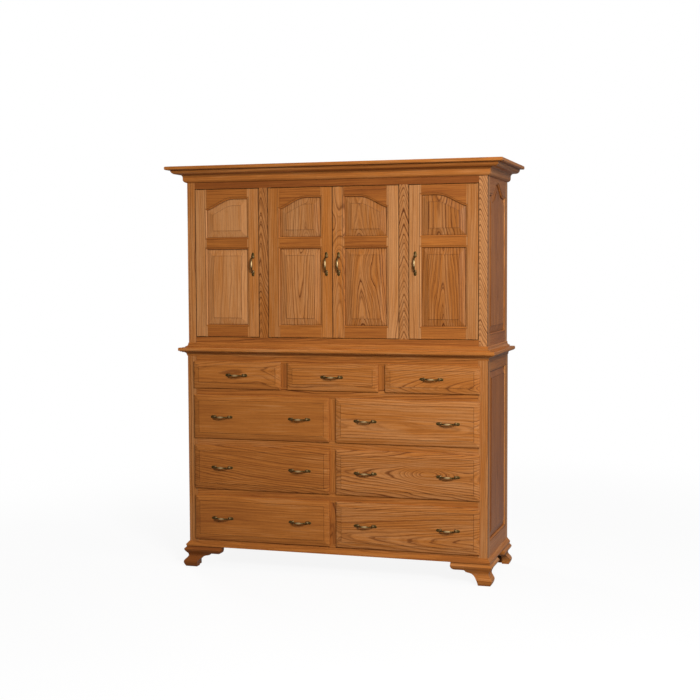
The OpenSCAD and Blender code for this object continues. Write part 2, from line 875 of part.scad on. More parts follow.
function pin_z(shelf_z) = floor_z + shelf_z - shelf_pin_r - fit_play;

module upper_side() {
    size = [base_d - upper_in_y, upper_h];
    shoulder = size[1] - upper_side_top_w;
    o = [side_stile_front_w, upper_side_bottom_w, size[0] - side_stile_back_w,
        shoulder + side_arch_rise, CATHEDRAL, side_arch_rise];
    difference() {
        on_right([upper_hx, upper_in_y, upper_z])
            framed(size, side_t, side_stile_front_w, side_stile_back_w,
                [[0, upper_side_bottom_w], [shoulder, size[1]]], [o]);
        pin_bores(upper_in_hx - cut, upper_in_hx + shelf_pin_len / 2);
    }
    on_right([upper_hx, upper_in_y, upper_z]) raised_panel(o);
}

module upper_right_side() {
    color(oak) in_case() upper_side();
}

module upper_left_side() {
    color(oak) in_case() mirror([1, 0, 0]) upper_side();
}

module upper_back_panel() {
    hx = upper_in_hx - joint_line;
    color(plywood) in_case() slab([-hx, base_in_y, upper_z], [hx, base_d, upper_top]);
}

module upper_case_boards() {
    hx = upper_in_hx - joint_line;
    y0 = upper_in_y + joint_line;
    y1 = base_in_y - joint_line;
    color(oak_inside) in_case() {
        slab([-hx, y0, floor_z - deck_t], [hx, y1, floor_z]);
        slab([-hx, y0, upper_top - deck_t], [hx, y1, upper_top]);
        both_sides() difference() {
            slab([post_x - deck_t / 2, y0, floor_z + joint_line],
                 [post_x + deck_t / 2, y1, upper_top - deck_t - joint_line]);
            pin_bores(post_x + deck_t / 2 - shelf_pin_len / 2, post_x + deck_t / 2 + cut);
            pin_bores(post_x - deck_t / 2 - cut, post_x - deck_t / 2 + shelf_pin_len / 2);
        }
    }
}

// A bay of the cabinet as [left, right], between its walls
function bays() = [
    [-upper_in_hx, -post_x - deck_t / 2],
    [-post_x + deck_t / 2, post_x - deck_t / 2],
    [post_x + deck_t / 2, upper_in_hx],
];

module upper_shelves() {
    y0 = upper_in_y + shelf_set;
    y1 = base_in_y - shelf_play;
    color(oak_inside) in_case()
        for (bay = bays())
            for (z = shelf_zs)
                slab([bay[0] + shelf_play, y0, floor_z + z],
                     [bay[1] - shelf_play, y1, floor_z + z + deck_t]);
}

// Catches behind the top rail, shelf pins, and the washers that carry the doors
module upper_fittings() {
    color(dark_brass) in_case() {
        for (d = DOORS) {
            free_x = d[3] < 0 ? d[2] - door_stile_w : d[1] + door_stile_w;
            slab([free_x - catch_w / 2, upper_in_y + run_gap, door_open_top - catch_h / 2],
                 [free_x + catch_w / 2, upper_in_y + catch_t, door_open_top + catch_h / 2]);
            translate([pivot_x(d), pivot_y, door_open_z]) difference() {
                cylinder(r = pivot_inset - 2 * fit_play, h = door_gap - run_gap, $fn = 48);
                translate([0, 0, -cut])
                    cylinder(r = pivot_r + pivot_gap, h = door_gap + 2 * cut, $fn = 48);
            }
        }
        for (bay = bays())
            for (x = [bay[0] - shelf_pin_len / 2 + fit_play, bay[1] - shelf_pin_len / 2 - fit_play])
                for (y = pin_ys)
                    for (z = shelf_zs)
                        translate([x, y, pin_z(z)]) rotate([0, 90, 0])
                            cylinder(r = shelf_pin_r, h = shelf_pin_len, $fn = 32);
    }
}

module upper_base_moulding() {
    color(oak) in_case()
        moulding(upper_mould_profile(), upper_hx, upper_setback, base_d, upper_z);
}

module crown_moulding() {
    color(oak) in_case()
        moulding(crown_profile(), upper_hx, upper_setback, base_d, upper_top - crown_h);
}

// Pulls
// Bar radius along the bow, swelling towards the middle between two rings
function spindle(half) =
    let (
        ring_r = pull_bar_r + pull_ring_rise,
        inner = half - pull_ring_w,
        n = 10
    )
    concat(
        [[0, -half], [ring_r, -half], [ring_r, -inner]],
        [for (i = [0 : n])
            let (t = i / n)
            [pull_bar_r + (pull_swell_r - pull_bar_r) * pow(sin(half_turn * t), 2), (2 * t - 1) * inner]],
        [[ring_r, inner], [ring_r, half], [0, half]]
    );

// Outline of a leaf from the post to its tip and back
function leaf() =
    let (reach = (pull_len - pull_centres) / 2, n = 8)
    [for (i = [-n : n])
        let (
            t = 1 - abs(i) / n,
            w = leaf_w / 2 * pow(cos(90 * t), 0.6) * (0.72 + 0.28 * sin(half_turn * t))
        )
        if (i != 0) [reach * t, sign(i) * w] else [reach, 0]];

// A bow pull on the face z = 0, along local x
module pull() {
    lap = 0.5;
    post_top = pull_stand - pull_bend_r;
    post_r = pull_bar_r + lap;
    for (turn = [0, half_turn]) rotate([0, 0, turn]) translate([pull_centres / 2, 0, 0]) {
        rotate_extrude($fn = 32) polygon([
            [0, 0],
            [rosette_r, 0],
            [rosette_r, rosette_h / 2],
            [(rosette_r + post_r) / 2, rosette_h],
            [post_r, 2 * rosette_h],
            [post_r, post_top + lap],
            [0, post_top + lap],
        ]);
        translate([-pull_bend_r, 0, post_top]) rotate([90, 0, 0]) rotate_extrude(angle = 90, $fn = 48)
            translate([pull_bend_r, 0]) circle(r = pull_bar_r, $fn = 24);
        linear_extrude(leaf_t) polygon(leaf());
    }
    translate([0, 0, pull_stand]) rotate([0, 90, 0])
        rotate_extrude($fn = 32) polygon(spindle(pull_centres / 2 - pull_bend_r + lap));
}

// The two screws of a pull, from the face z = 0 through boards of the given thickness
module pull_screws(thickness) {
    for (s = [-1, 1]) translate([s * pull_centres / 2, 0, -thickness]) {
        cylinder(r = screw_r, h = thickness - joint_line, $fn = 32);
        translate([0, 0, -screw_head_h]) cylinder(r = 2 * screw_r, h = screw_head_h, $fn = 32);
    }
}

module pull_holes(thickness) {
    for (s = [-1, 1])
        translate([s * pull_centres / 2, 0, -thickness - cut])
            cylinder(r = hole_r, h = thickness + 2 * cut, $fn = 32);
}

// Doors
// Lower left corner of a door on its face
function door_place(d) = [d[1], upper_setback, door_open_z + door_gap];

function door_w(d) = d[2] - d[1];

function door_pull_x(d) = d[3] < 0 ? door_w(d) - door_stile_w / 2 : door_stile_w / 2;

function door_openings(d) =
    let (
        left = door_stile_w,
        right = door_w(d) - door_stile_w,
        arch_top = door_h - door_rail_top_w,
        arch_low = arch_top - door_arch_open_h
    )
    [
        [left, door_rail_bottom_w, right, arch_low - door_rail_mid_w, SQUARE, 0],
        [left, arch_low, right, arch_top, d[4], door_arch_drop],
    ];

module door_frame(d) {
    openings = door_openings(d);
    rail_list = [
        [0, openings[0][1]],
        [openings[0][3], openings[1][1]],
        [openings[1][3] - door_arch_drop, door_h],
    ];
    pin_x = d[3] < 0 ? pivot_inset : door_w(d) - pivot_inset;
    color(oak) in_case() on_front(door_place(d)) difference() {
        framed([door_w(d), door_h], door_t, door_stile_w, door_stile_w, rail_list, openings);
        translate([door_pull_x(d), door_pull_z, 0]) rotate([0, 0, 90]) pull_holes(door_t);
        for (y = [-cut, door_h - pivot_seat])
            translate([pin_x, y, -pivot_inset]) rotate([-90, 0, 0])
                cylinder(r = pivot_r + pivot_gap / 2, h = pivot_seat + cut, $fn = 48);
        translate([d[3] < 0 ? 0 : door_w(d), door_h + cut, 0]) rotate([90, 0, 0])
            linear_extrude(door_h + 2 * cut) polygon([
                [d[3] * cut, cut],
                [-d[3] * (door_ease + cut), cut],
                [d[3] * cut, -door_ease - cut],
            ]);
    }
}

module door_panels(d) {
    color(oak) in_case() on_front(door_place(d))
        for (o = door_openings(d)) raised_panel(o);
}

module door_hardware(d) {
    pin_h = pivot_seat + door_gap + pivot_reach - fit_play;
    color(dark_brass) in_case() {
        on_front(door_place(d)) translate([door_pull_x(d), door_pull_z, 0]) rotate([0, 0, 90]) {
            pull();
            pull_screws(door_t);
        }
        translate([pivot_x(d), pivot_y, door_open_top - door_gap - pivot_seat + fit_play])
            cylinder(r = pivot_r, h = pin_h, $fn = 48);
        translate([pivot_x(d), pivot_y, door_open_z - pivot_reach])
            cylinder(r = pivot_r, h = pin_h, $fn = 48);
    }
}

// Drawers
// Where the pulls of a drawer stand, as a list of x
function drawer_pull_xs(d) =
    let (
        x0 = open_x(d[1], d[2]),
        w = open_w(d[1]),
        inset = pull_end_inset - front_lap
    )
    row_counts[d[1]] > 2 ? [x0 + w / 2] : [x0 + inset, x0 + w - inset];

function drawer_mid_z(d) = row_z(d[1]) + rows[d[1]] / 2;

// Share of the bevel's rise that its steeper outer half takes
front_knee = 0.66;

// Section of a raised front over its length, from the back of its lap to its field
function front_profile(length) =
    let (
        shoulder = front_proud - front_step,
        rise = [
            [0, run_gap],
            [0, front_edge_h],
            [front_bevel_w / 2, front_edge_h + front_knee * (shoulder - front_edge_h)],
            [front_bevel_w, shoulder],
            [front_bevel_w, front_proud],
        ]
    )
    concat(rise, [for (i = [len(rise) - 1 : -1 : 0]) [length - rise[i][0], rise[i][1]]]);

module drawer_front(d) {
    x0 = open_x(d[1], d[2]);
    z0 = row_z(d[1]);
    w = open_w(d[1]);
    h = rows[d[1]];
    lap_w = w + 2 * front_lap;
    lap_h = h + 2 * front_lap;
    color(oak) in_case() difference() {
        on_front([x0 - front_lap, 0, z0 - front_lap]) {
            intersection() {
                translate([0, lap_h, 0]) rotate([90, 0, 0]) linear_extrude(lap_h)
                    polygon(front_profile(lap_w));
                rotate([90, 0, 90]) linear_extrude(lap_w) polygon(front_profile(lap_h));
            }
            slab([front_lap + front_play, front_lap + front_play, -rabbet_t],
                 [front_lap + w - front_play, front_lap + h - front_play, front_edge_h]);
        }
        for (x = drawer_pull_xs(d))
            on_front([x, -front_proud, drawer_mid_z(d)]) pull_holes(front_t);
    }
}

module drawer_box(d) {
    x0 = open_x(d[1], d[2]) + box_play;
    x1 = x0 + open_w(d[1]) - 2 * box_play;
    z0 = row_z(d[1]) + run_gap;
    z1 = z0 + rows[d[1]] - box_head_room;
    y0 = box_front_y;
    y1 = box_back_y;
    in_x0 = x0 + box_side_t + joint_line;
    in_x1 = x1 - box_side_t - joint_line;
    low_z = z0 + box_groove_z;
    top_z = low_z + box_bottom_t;
    grip = box_groove_d - fit_play;
    color(oak_inside) in_case() {
        difference() {
            union() {
                slab([x0, y0, z0], [x0 + box_side_t, y1, z1]);
                slab([x1 - box_side_t, y0, z0], [x1, y1, z1]);
                slab([in_x0, y0, z0], [in_x1, y0 + box_side_t, z1]);
            }
            slab([x0 + box_side_t - box_groove_d, y0 + box_side_t - box_groove_d, low_z - fit_play],
                 [x1 - box_side_t + box_groove_d, y1 + cut, top_z + fit_play]);
            for (x = drawer_pull_xs(d))
                on_front([x, y0, drawer_mid_z(d)]) pull_holes(box_side_t);
        }
        slab([in_x0, y1 - box_side_t, top_z + joint_line], [in_x1, y1, z1]);
        slab([x0 + box_side_t - grip, y0 + box_side_t - grip, low_z],
             [x1 - box_side_t + grip, y1, top_z]);
    }
}

module drawer_pulls(d) {
    color(dark_brass) in_case()
        for (x = drawer_pull_xs(d))
            on_front([x, -front_proud, drawer_mid_z(d)]) {
                pull();
                pull_screws(front_t + box_side_t);
            }
}

base_face_frame();
base_left_side();
base_right_side();
base_back_panel();
base_web_frames();
base_moulding();
front_left_foot();
front_right_foot();
back_left_foot();
back_right_foot();
waist_board();
waist_cove();
upper_face_frame();
upper_left_side();
upper_right_side();
upper_back_panel();
upper_case_boards();
upper_shelves();
upper_fittings();
upper_base_moulding();
crown_moulding();
for (d = DOORS) {
    door_frame(d);
    door_panels(d);
    door_hardware(d);
}
for (d = DRAWERS) {
    drawer_front(d);
    drawer_box(d);
    drawer_pulls(d);
}
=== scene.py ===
"""Mule chest in stained oak: the boards, mouldings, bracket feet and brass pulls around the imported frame.

Lengths are in metres. +Z is up and the doors and drawers face -Y.
"""

import math

import bpy
import numpy as np
from mathutils import Matrix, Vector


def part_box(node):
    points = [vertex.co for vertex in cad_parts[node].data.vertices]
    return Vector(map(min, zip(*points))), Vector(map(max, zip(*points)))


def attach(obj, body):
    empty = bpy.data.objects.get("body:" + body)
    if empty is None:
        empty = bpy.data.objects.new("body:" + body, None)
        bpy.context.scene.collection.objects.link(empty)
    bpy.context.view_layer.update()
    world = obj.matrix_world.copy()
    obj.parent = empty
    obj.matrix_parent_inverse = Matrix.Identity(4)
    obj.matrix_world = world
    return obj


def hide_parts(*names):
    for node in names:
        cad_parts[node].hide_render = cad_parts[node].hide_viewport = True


bl_info = {
    "name": "Mule Chest",
    "version": (1, 0, 0),
    "blender": (4, 5, 0),
    "location": "View3D > Sidebar > Mule Chest",
    "description": "Makes the oak boards, panels, mouldings, bracket feet and brass pulls of a mule chest",
    "category": "Add Mesh",
}

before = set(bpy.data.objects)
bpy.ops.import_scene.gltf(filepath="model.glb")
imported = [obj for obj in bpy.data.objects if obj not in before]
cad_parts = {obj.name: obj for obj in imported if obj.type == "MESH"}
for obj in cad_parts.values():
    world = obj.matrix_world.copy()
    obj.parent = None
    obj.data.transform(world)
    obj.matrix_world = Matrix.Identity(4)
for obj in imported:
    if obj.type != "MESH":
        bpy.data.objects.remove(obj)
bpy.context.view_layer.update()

DOORS = ("left_door", "centre_left_door", "centre_right_door", "right_door")
# Doors that turn on their left edge; their arches climb to the right
HUNG_LEFT = DOORS[:2]
DRAWERS = (
    "top_left_drawer",
    "top_middle_drawer",
    "top_right_drawer",
    "second_left_drawer",
    "second_right_drawer",
    "third_left_drawer",
    "third_right_drawer",
    "bottom_left_drawer",
    "bottom_right_drawer",
)
# Least and most of four things for each way of sawing: how far to the side of the board's middle the log's
# axis lies, how deep it lies, the log's taper along the grain, and how boldly the rings show
SAWN = {
    "straight": ((0.09, 0.20), (0.03, 0.09), (0.002, 0.010), (0.45, 0.75)),
    "wavy": ((0.03, 0.07), (0.03, 0.06), (0.010, 0.030), (0.75, 1.00)),
    "cathedral": ((0.00, 0.03), (0.035, 0.06), (0.030, 0.060), (0.80, 1.00)),
}
# The same for the boards whose figure the photograph shows, with a tone and a shade:
# offset, depth, taper, tone (-1 stained most, 1 palest), boldness, shade (0 to 1), the shade being
# an even painted shade over the board, for the weaker light that falls on it
FIGURED = {
    "top_left_drawer": (0.010, 0.035, -0.050, 0.00, 0.75, 0.00),
    "top_middle_drawer": (-0.060, 0.030, 0.020, 0.10, 0.85, 0.00),
    "top_right_drawer": (-0.040, 0.020, -0.160, 0.05, 0.80, 0.00),
    "second_left_drawer": (0.160, 0.060, 0.004, -0.20, 0.40, 0.14),
    "second_right_drawer": (-0.020, 0.060, 0.022, 0.25, 0.85, 0.00),
    "third_left_drawer": (-0.120, 0.030, 0.085, -0.15, 1.25, 0.03),
    "third_right_drawer": (0.000, 0.060, -0.085, 0.30, 1.15, 0.00),
    "bottom_left_drawer": (0.150, 0.070, 0.010, -0.20, 0.60, 0.06),
    "bottom_right_drawer": (-0.055, 0.035, -0.066, 0.25, 1.15, 0.00),
    "left_stile": (0.050, 0.035, 0.020, 0.45, 0.90, 0.00),
    "left_post": (-0.014, 0.006, 0.200, 0.25, 1.60, 0.10),
    "right_post": (0.000, 0.004, 0.300, 0.60, 1.35, 0.12),
    "right_stile": (-0.014, 0.006, 0.420, 1.00, 1.40, 0.02),
    "centre_right_door_left_stile": (0.004, 0.016, 0.085, 0.30, 1.00, 0.00),
    "left_door_lower": (0.110, 0.050, 0.008, 0.75, 0.60, 0.00),
    "left_door_upper": (0.090, 0.050, 0.006, 0.85, 0.30, 0.10),
    "centre_left_door_lower": (0.004, 0.022, -0.060, 0.60, 0.95, 0.06),
    "centre_left_door_upper": (0.030, 0.020, 0.045, 0.65, 0.95, 0.18),
    "centre_right_door_lower": (-0.012, 0.018, 0.090, 0.35, 1.35, 0.08),
    "centre_right_door_upper": (-0.030, 0.030, 0.060, 0.35, 1.00, 0.20),
    "right_door_lower": (0.000, 0.016, 0.050, 0.25, 1.50, 0.15),
    "right_door_upper": (-0.020, 0.030, 0.050, 0.30, 1.30, 0.25),
    "left_door_left_stile": (0.150, 0.060, 0.005, 0.75, 0.60, 0.06),
    "centre_left_door_left_stile": (0.120, 0.050, 0.008, 0.20, 0.60, 0.15),
    "centre_right_door_right_stile": (0.050, 0.040, 0.020, 0.85, 0.90, 0.00),
    "right_door_left_stile": (0.130, 0.050, 0.006, 0.70, 0.60, 0.12),
    "right_door_right_stile": (0.140, 0.060, 0.005, 0.50, 0.55, 0.25),
    "corner_stile": (0.150, 0.060, 0.004, 0.40, 0.75, 0.14),
    # The frieze's deepest tone and its shade are painted shade under the crown
    "frieze": (0.120, 0.050, 0.006, -1.00, 0.60, 0.15),
    "deck_rail": (0.060, 0.040, 0.015, -0.50, 0.90, 0.00),
}
# Place of a knot along and across a board from its middle, and how far it pushes the rings out (in below 0)
KNOTS = {
    "third_right_drawer": (0.105, 0.012, -0.062),
    "centre_right_door_left_stile": (0.180, 0.004, 0.034),
    "centre_right_door_lower": (0.060, 0.020, 0.030),
    "top_left_drawer": (0.120, 0.000, 0.022),
    "left_post": (-0.060, 0.000, 0.020),
}
NO_KNOT = (0.0, 0.0, 0.0)
# Tone that the stiles and the rails of a frame add to its own: partly the boards' own tone, partly painted
# light and shade for how grain along and across catches the lamps
STILE_TONE, RAIL_TONE = 0.35, -0.45
# How dark early wood is at each place in its year
YEAR = ((0.0, 0.95), (0.14, 0.80), (0.42, 0.30), (0.75, 0.08), (0.90, 0.05), (1.0, 0.95))
LOG_SEED = 1885
ARCH_COLUMNS = 32
MM = 0.001
# Clearance between two boards that touch
HAIR = 0.0001
# A worked corner: how far its painted shade, partly stain gathered there, reaches, how far it drops, where
# the flat starts, and how far a bevel runs before the shade in its corner has ended
CORNER, DROP, FLAT, LEAD = 0.0005, 0.0003, 0.0012, 0.002
SAME_POINT = 1e-5
FINISHES = {}

# Local frames as rows: to the right, up and out of a face
FRONT = np.array([[1, 0, 0], [0, 0, 1], [0, -1, 0]], float)
RIGHT = np.array([[0, 1, 0], [0, 0, 1], [1, 0, 0]], float)
LEFT = np.array([[0, 1, 0], [0, 0, 1], [-1, 0, 0]], float)
UPRIGHT = np.array([[0, 0, 1], [-1, 0, 0], [0, -1, 0]], float)


def size(default, name, description):
    """A length that a user can change."""
    return bpy.props.FloatProperty(
        name=name,
        description=description,
        default=default,
        min=0.0,
        soft_max=2.5,
        unit="LENGTH",
        precision=4,
    )


def amount(default, name, description, low=0.0, high=1.0):
    """A plain number that a user can change."""
    return bpy.props.FloatProperty(name=name, description=description, default=default, min=low, max=high)


def colour(default, name, description):
    """A colour that a user can change."""
    return bpy.props.FloatVectorProperty(
        name=name, description=description, default=default, size=3, min=0.0, max=1.0, subtype="COLOR"
    )


def turn(degrees, name, description):
    """An angle that a user can change, given in degrees."""
    return bpy.props.FloatProperty(
        name=name, description=description, default=math.radians(degrees), subtype="ANGLE", precision=3
    )


def spot(default, name, description):
    """A place that a user can change."""
    return bpy.props.FloatVectorProperty(
        name=name, description=description, default=default, size=3, subtype="TRANSLATION"
    )


class ChestJoinery(bpy.types.PropertyGroup):
    """Sizes of the boards, bevels and mouldings"""

    ease: size(0.0006, "Eased edge", "Rounding of a board's edges")
    box_ease: size(0.0008, "Box edge", "Rounding of the edges of a drawer box")
    lap: size(0.010, "Front lap", "How far a drawer front laps over the face frame")
    front_bevel: size(0.028, "Front bevel", "Width of the bevel round a drawer front")
    front_edge: size(0.010, "Front edge", "Height of the thin edge of a drawer front")
    front_knee: amount(0.66, "Front knee", "Share of the bevel's climb that lies in its outer half")
    front_play: size(0.001, "Front play", "Clearance of a drawer front in its opening")
    quirk: size(0.0020, "Quirk", "Height of the small step beside a field or a moulded edge")
    stile: size(0.061, "Door stile", "Width of the door stiles")
    door_bottom: size(0.062, "Door bottom rail", "Width of the bottom rail of the doors")
    door_middle: size(0.060, "Door middle rail", "Width of the middle rail of the doors")
    door_top: size(0.050, "Door top rail", "Width of the top rail of the doors at the high end of the arch")
    arch_open: size(0.195, "Arched opening", "Height of the arched opening at its high end")
    arch_drop: size(0.056, "Arch drop", "Drop of a door's arch to its low end")
    base_side_bottom: size(0.106, "Base side bottom rail", "Height of the bottom rail of the lower sides")
    base_side_top: size(0.081, "Base side top rail", "Height of the top rail of the lower sides")
    upper_side_bottom: size(0.085, "Upper side bottom rail", "Height of the bottom rail of the upper sides")
    upper_side_top: size(0.169, "Upper side top rail", "Height of the upper sides' top rail at its ends")
    side_arch: size(0.061, "Side arch", "Rise of the arch in the upper sides")
    side_front: size(0.040, "Side front stile", "Width of the front stile of the sides")
    side_back: size(0.060, "Side back stile", "Width of the back stile of the sides")
    panel_flat: size(0.004, "Panel flat", "Flat between a frame and its panel's bevel")
    panel_bevel: size(0.030, "Panel bevel", "Width of a panel's bevel")
    panel_deep: size(0.010, "Panel depth", "Depth of a panel's flat behind the face of its frame")
    panel_field: size(0.001, "Panel field", "Depth of a panel's field behind the face of its frame")
    panel_tongue: size(0.006, "Panel tongue", "Thickness and reach of a panel's tongue in its groove")
    stick_width: size(0.009, "Moulded edge width", "Width of the moulded edge round an opening")
    stick_depth: size(0.0065, "Moulded edge depth", "Depth of the moulded edge round an opening")


class BracketFeet(bpy.types.PropertyGroup):
    """Sizes of the bracket feet"""

    length: size(0.183, "Bracket length", "Length of a wing along the case")
    thick: size(0.020, "Bracket thickness", "Thickness of a wing")
    mitre: size(0.044, "Mitre run", "Distance over which a wing's face leans out to the mitre")
    block: size(0.025, "Glue block", "Width and depth of the glue block inside the corner")
    block_height: size(0.120, "Block height", "Height of the glue block")
    block_lift: size(0.006, "Block lift", "Height of the glue block's foot over the floor")


class BrassHardware(bpy.types.PropertyGroup):
    """Sizes and places of the pulls and pivot pins"""

    centres: size(0.076, "Pull centres", "Distance between the posts of a pull")
    rise: size(0.023, "Pull rise", "Height of a pull's bow over the face")
    drawer_inset: size(0.155, "Pull inset", "From the end of a wide drawer to the middle of its pull")
    door_height: size(0.368, "Door pull height", "Height of the pull's middle on a door")
    drawer_depth: size(0.035, "Drawer screw depth", "Thickness of a drawer's front and its inner front")
    door_depth: size(0.020, "Door screw depth", "Thickness of a door")
    pin_radius: size(0.003, "Pin radius", "Radius of a door's pivot pins")
    pin_inset: size(0.006, "Pin inset", "Distance from a pin to the door's face and its edge")
    pin_seat: size(0.0199, "Pin seat", "Length of a pin inside the door")
    pin_reach: size(0.0145, "Pin reach", "Length of a pin outside the door")


class OakFigure(bpy.types.PropertyGroup):
    """The growth rings, knots and pores of the oak"""

    ring: size(0.0110, "Ring width", "Width of a year's growth")
    wander: size(0.060, "Wander", "How far a ring strays along a board")
    waver: size(0.0105, "Waver", "How far a ring strays within a hand's width")
    ripple: size(0.0012, "Ripple", "How far a ring strays within a finger's width")
    knot_length: size(0.100, "Knot length", "Reach of a knot along the grain")
    knot_width: size(0.038, "Knot width", "Reach of a knot across the grain")
    patches: amount(1.6, "Patches", "How unevenly broad patches take the stain", 0.0, 5.0)
    streaks: amount(1.7, "Streaks", "How unevenly narrow streaks take the stain", 0.0, 5.0)
    pores: amount(0.5, "Pores", "How strongly the open pores show")
    # Painted shade: how much darker the marked corners, edges and boards are, partly stain gathered in
    # corners
    glaze: amount(0.62, "Glaze", "How much darker the stain that gathers in corners is")


class StainedOak(bpy.types.PropertyGroup):
    """Colours of the stained and lacquered oak"""

    light: colour((0.575, 0.258, 0.092), "Pale boards", "Colour of the palest boards")
    mid: colour((0.470, 0.158, 0.029), "Wood", "Colour of the wood at large")
    deep: colour((0.285, 0.081, 0.015), "Deep boards", "Colour of the boards that took most stain")
    dark: colour((0.150, 0.038, 0.007), "Dark rings", "Colour of the stained early wood")
    rings: amount(0.95, "Ring contrast", "How strongly the rings show")
    roughness: amount(0.36, "Roughness", "Roughness of the lacquer")
    shine: amount(0.14, "Shine", "Strength of the lacquer's reflection")


class PaleOak(bpy.types.PropertyGroup):
    """Colours of the bare oak inside"""

    light: colour((0.64, 0.38, 0.170), "Pale boards", "Colour of the palest boards")
    mid: colour((0.57, 0.32, 0.128), "Wood", "Colour of the wood at large")
    deep: colour((0.50, 0.26, 0.095), "Deep boards", "Colour of the darkest boards")
    dark: colour((0.39, 0.185, 0.060), "Dark rings", "Colour of the early wood")
    rings: amount(0.76, "Ring contrast", "How strongly the rings show")
    roughness: amount(0.61, "Roughness", "Roughness of the bare wood")
    shine: amount(0.09, "Shine", "Strength of the bare wood's reflection")


class OakVeneer(bpy.types.PropertyGroup):
    """Colours of the veneered back panels"""

    light: colour((0.58, 0.32, 0.128), "Pale boards", "Colour of the palest veneer")
    mid: colour((0.52, 0.27, 0.098), "Wood", "Colour of the veneer at large")
    deep: colour((0.44, 0.21, 0.072), "Deep boards", "Colour of the darkest veneer")
    dark: colour((0.34, 0.155, 0.048), "Dark rings", "Colour of the early wood")
    rings: amount(0.855, "Ring contrast", "How strongly the rings show")
    roughness: amount(0.61, "Roughness", "Roughness of the veneer")
    shine: amount(0.09, "Shine", "Strength of the veneer's reflection")


class BrassFinish(bpy.types.PropertyGroup):
    """Colours of the aged brass"""

    dark: colour((0.095, 0.056, 0.016), "Hollows", "Colour of the brass in its hollows")
    # Bright colour of wear, which on a bow's grip also serves as a painted highlight
    worn_and_highlight: colour((0.660, 0.455, 0.215), "Rubbed", "Colour of the brass where hands rub it")
    roughness: amount(0.49, "Roughness", "Roughness of the brass")


class StudioLight(bpy.types.PropertyGroup):
    """The camera, the lamps and the floor"""

    place: spot((1.99923, -6.40640, 1.53945), "Camera place", "Where the camera stands")
    heading: turn(17.152, "Heading", "How far the camera looks to the left")
    pitch: turn(3.533, "Pitch", "How far the camera looks down")
    roll: turn(-0.234, "Roll", "How far the camera leans")
    lens: amount(67.02, "Lens", "Focal length in millimetres", 1.0, 300.0)
    sky: amount(0.187, "Sky", "Strength of the even light all round", 0.0, 5.0)
    key: amount(286.0, "Key lamp", "Power of the lamp in front, at the right", 0.0, 2000.0)
    key_place: spot((2.9, -4.4, 3.2), "Key lamp place", "Where the key lamp hangs")
    top: amount(48.0, "Top lamp", "Power of the lamp overhead", 0.0, 2000.0)
    top_place: spot((2.5, -1.2, 5.5), "Top lamp place", "Where the top lamp hangs")
    back: amount(90.0, "Back lamp", "Power of the lamp behind, at the left", 0.0, 2000.0)
    back_place: spot((-3.6, 3.2, 2.6), "Back lamp place", "Where the back lamp hangs")
    lamp_size: size(1.4, "Lamp size", "Width and height of each lamp")
    floor: colour((0.94, 0.94, 0.94), "Floor", "Colour of the floor where the camera sees it")
    bounce: colour((0.32, 0.32, 0.32), "Floor bounce", "Colour of the light that the floor throws back")
    mirrored: amount(0.14, "Mirrored share", "How much of the white background shows in lacquer and brass")
    paper: amount(0.90, "White share", "How much of the floor is plain white; the rest keeps the shadow")
    clear: size(1.5, "Shadow reach", "Distance at which the floor starts to turn all white")


# Wood


class Board:
    """How one board is sawn from its log, with its grain along one local axis and its face towards another.

    The log's axis lies under the face, off to one side, so a ring is a circle round it that the face cuts
    into the lines and arches of the figure.
    """

    draw = np.random.default_rng(LOG_SEED)

    def __init__(self, along, face, level, kind="mixed", side=1.0, tone=None, shade=0.0):
        draw = Board.draw
        self.along = along
        self.face = face
        self.across = 3 - along - face
        self.level = level
        self.side = side
        if kind == "mixed":
            kind = ("straight", "cathedral", "straight", "wavy")[int(draw.integers(4))]
        # Drawn for every board, so that a figured one doesn't change the boards after it
        drawn = draw.uniform(size=7)
        # A board's shade, listed or given, is an even painted shade over the whole board
        if kind in FIGURED:
            self.off, self.deep, self.taper, self.tone, self.bold, self.shade = FIGURED[kind]
        else:
            self.shade = shade
            least, most = np.array(SAWN[kind]).T
            off, deep, taper, self.bold = least + (most - least) * drawn[:4]
            self.off = off if drawn[4] < 0.5 else -off
            self.deep = deep
            self.taper = taper if drawn[5] < 0.5 else -taper
            spread = 0.6 if tone is None else 0.2
            self.tone = (tone or 0.0) + spread * (2 * drawn[6] - 1)
        self.seed = draw.uniform(0.0, 9.0)
        self.shift = draw.uniform(-1.0, 1.0)
        along_board, across_board, push = KNOTS.get(kind, NO_KNOT)
        self.knot = (along_board + self.shift, across_board - self.off, push)

    def grain(self, points, middle):
        """Log coordinates of some points: along the grain, across it and up from the log's axis."""
        along = points[:, self.along] - middle[self.along] + self.shift
        across = points[:, self.across] - middle[self.across] - self.off
        height = self.deep + self.side * (points[:, self.face] - self.level)
        return np.stack([along, across, height], 1)

    def figure(self, count):
        """Tone, taper and seed of the board, for each point."""
        return np.tile([self.tone, self.taper, self.seed], (count, 1))

    def boldness(self, count):
        """How strongly the board's rings show, for each point."""
        return np.full(count, self.bold)


# Surfaces


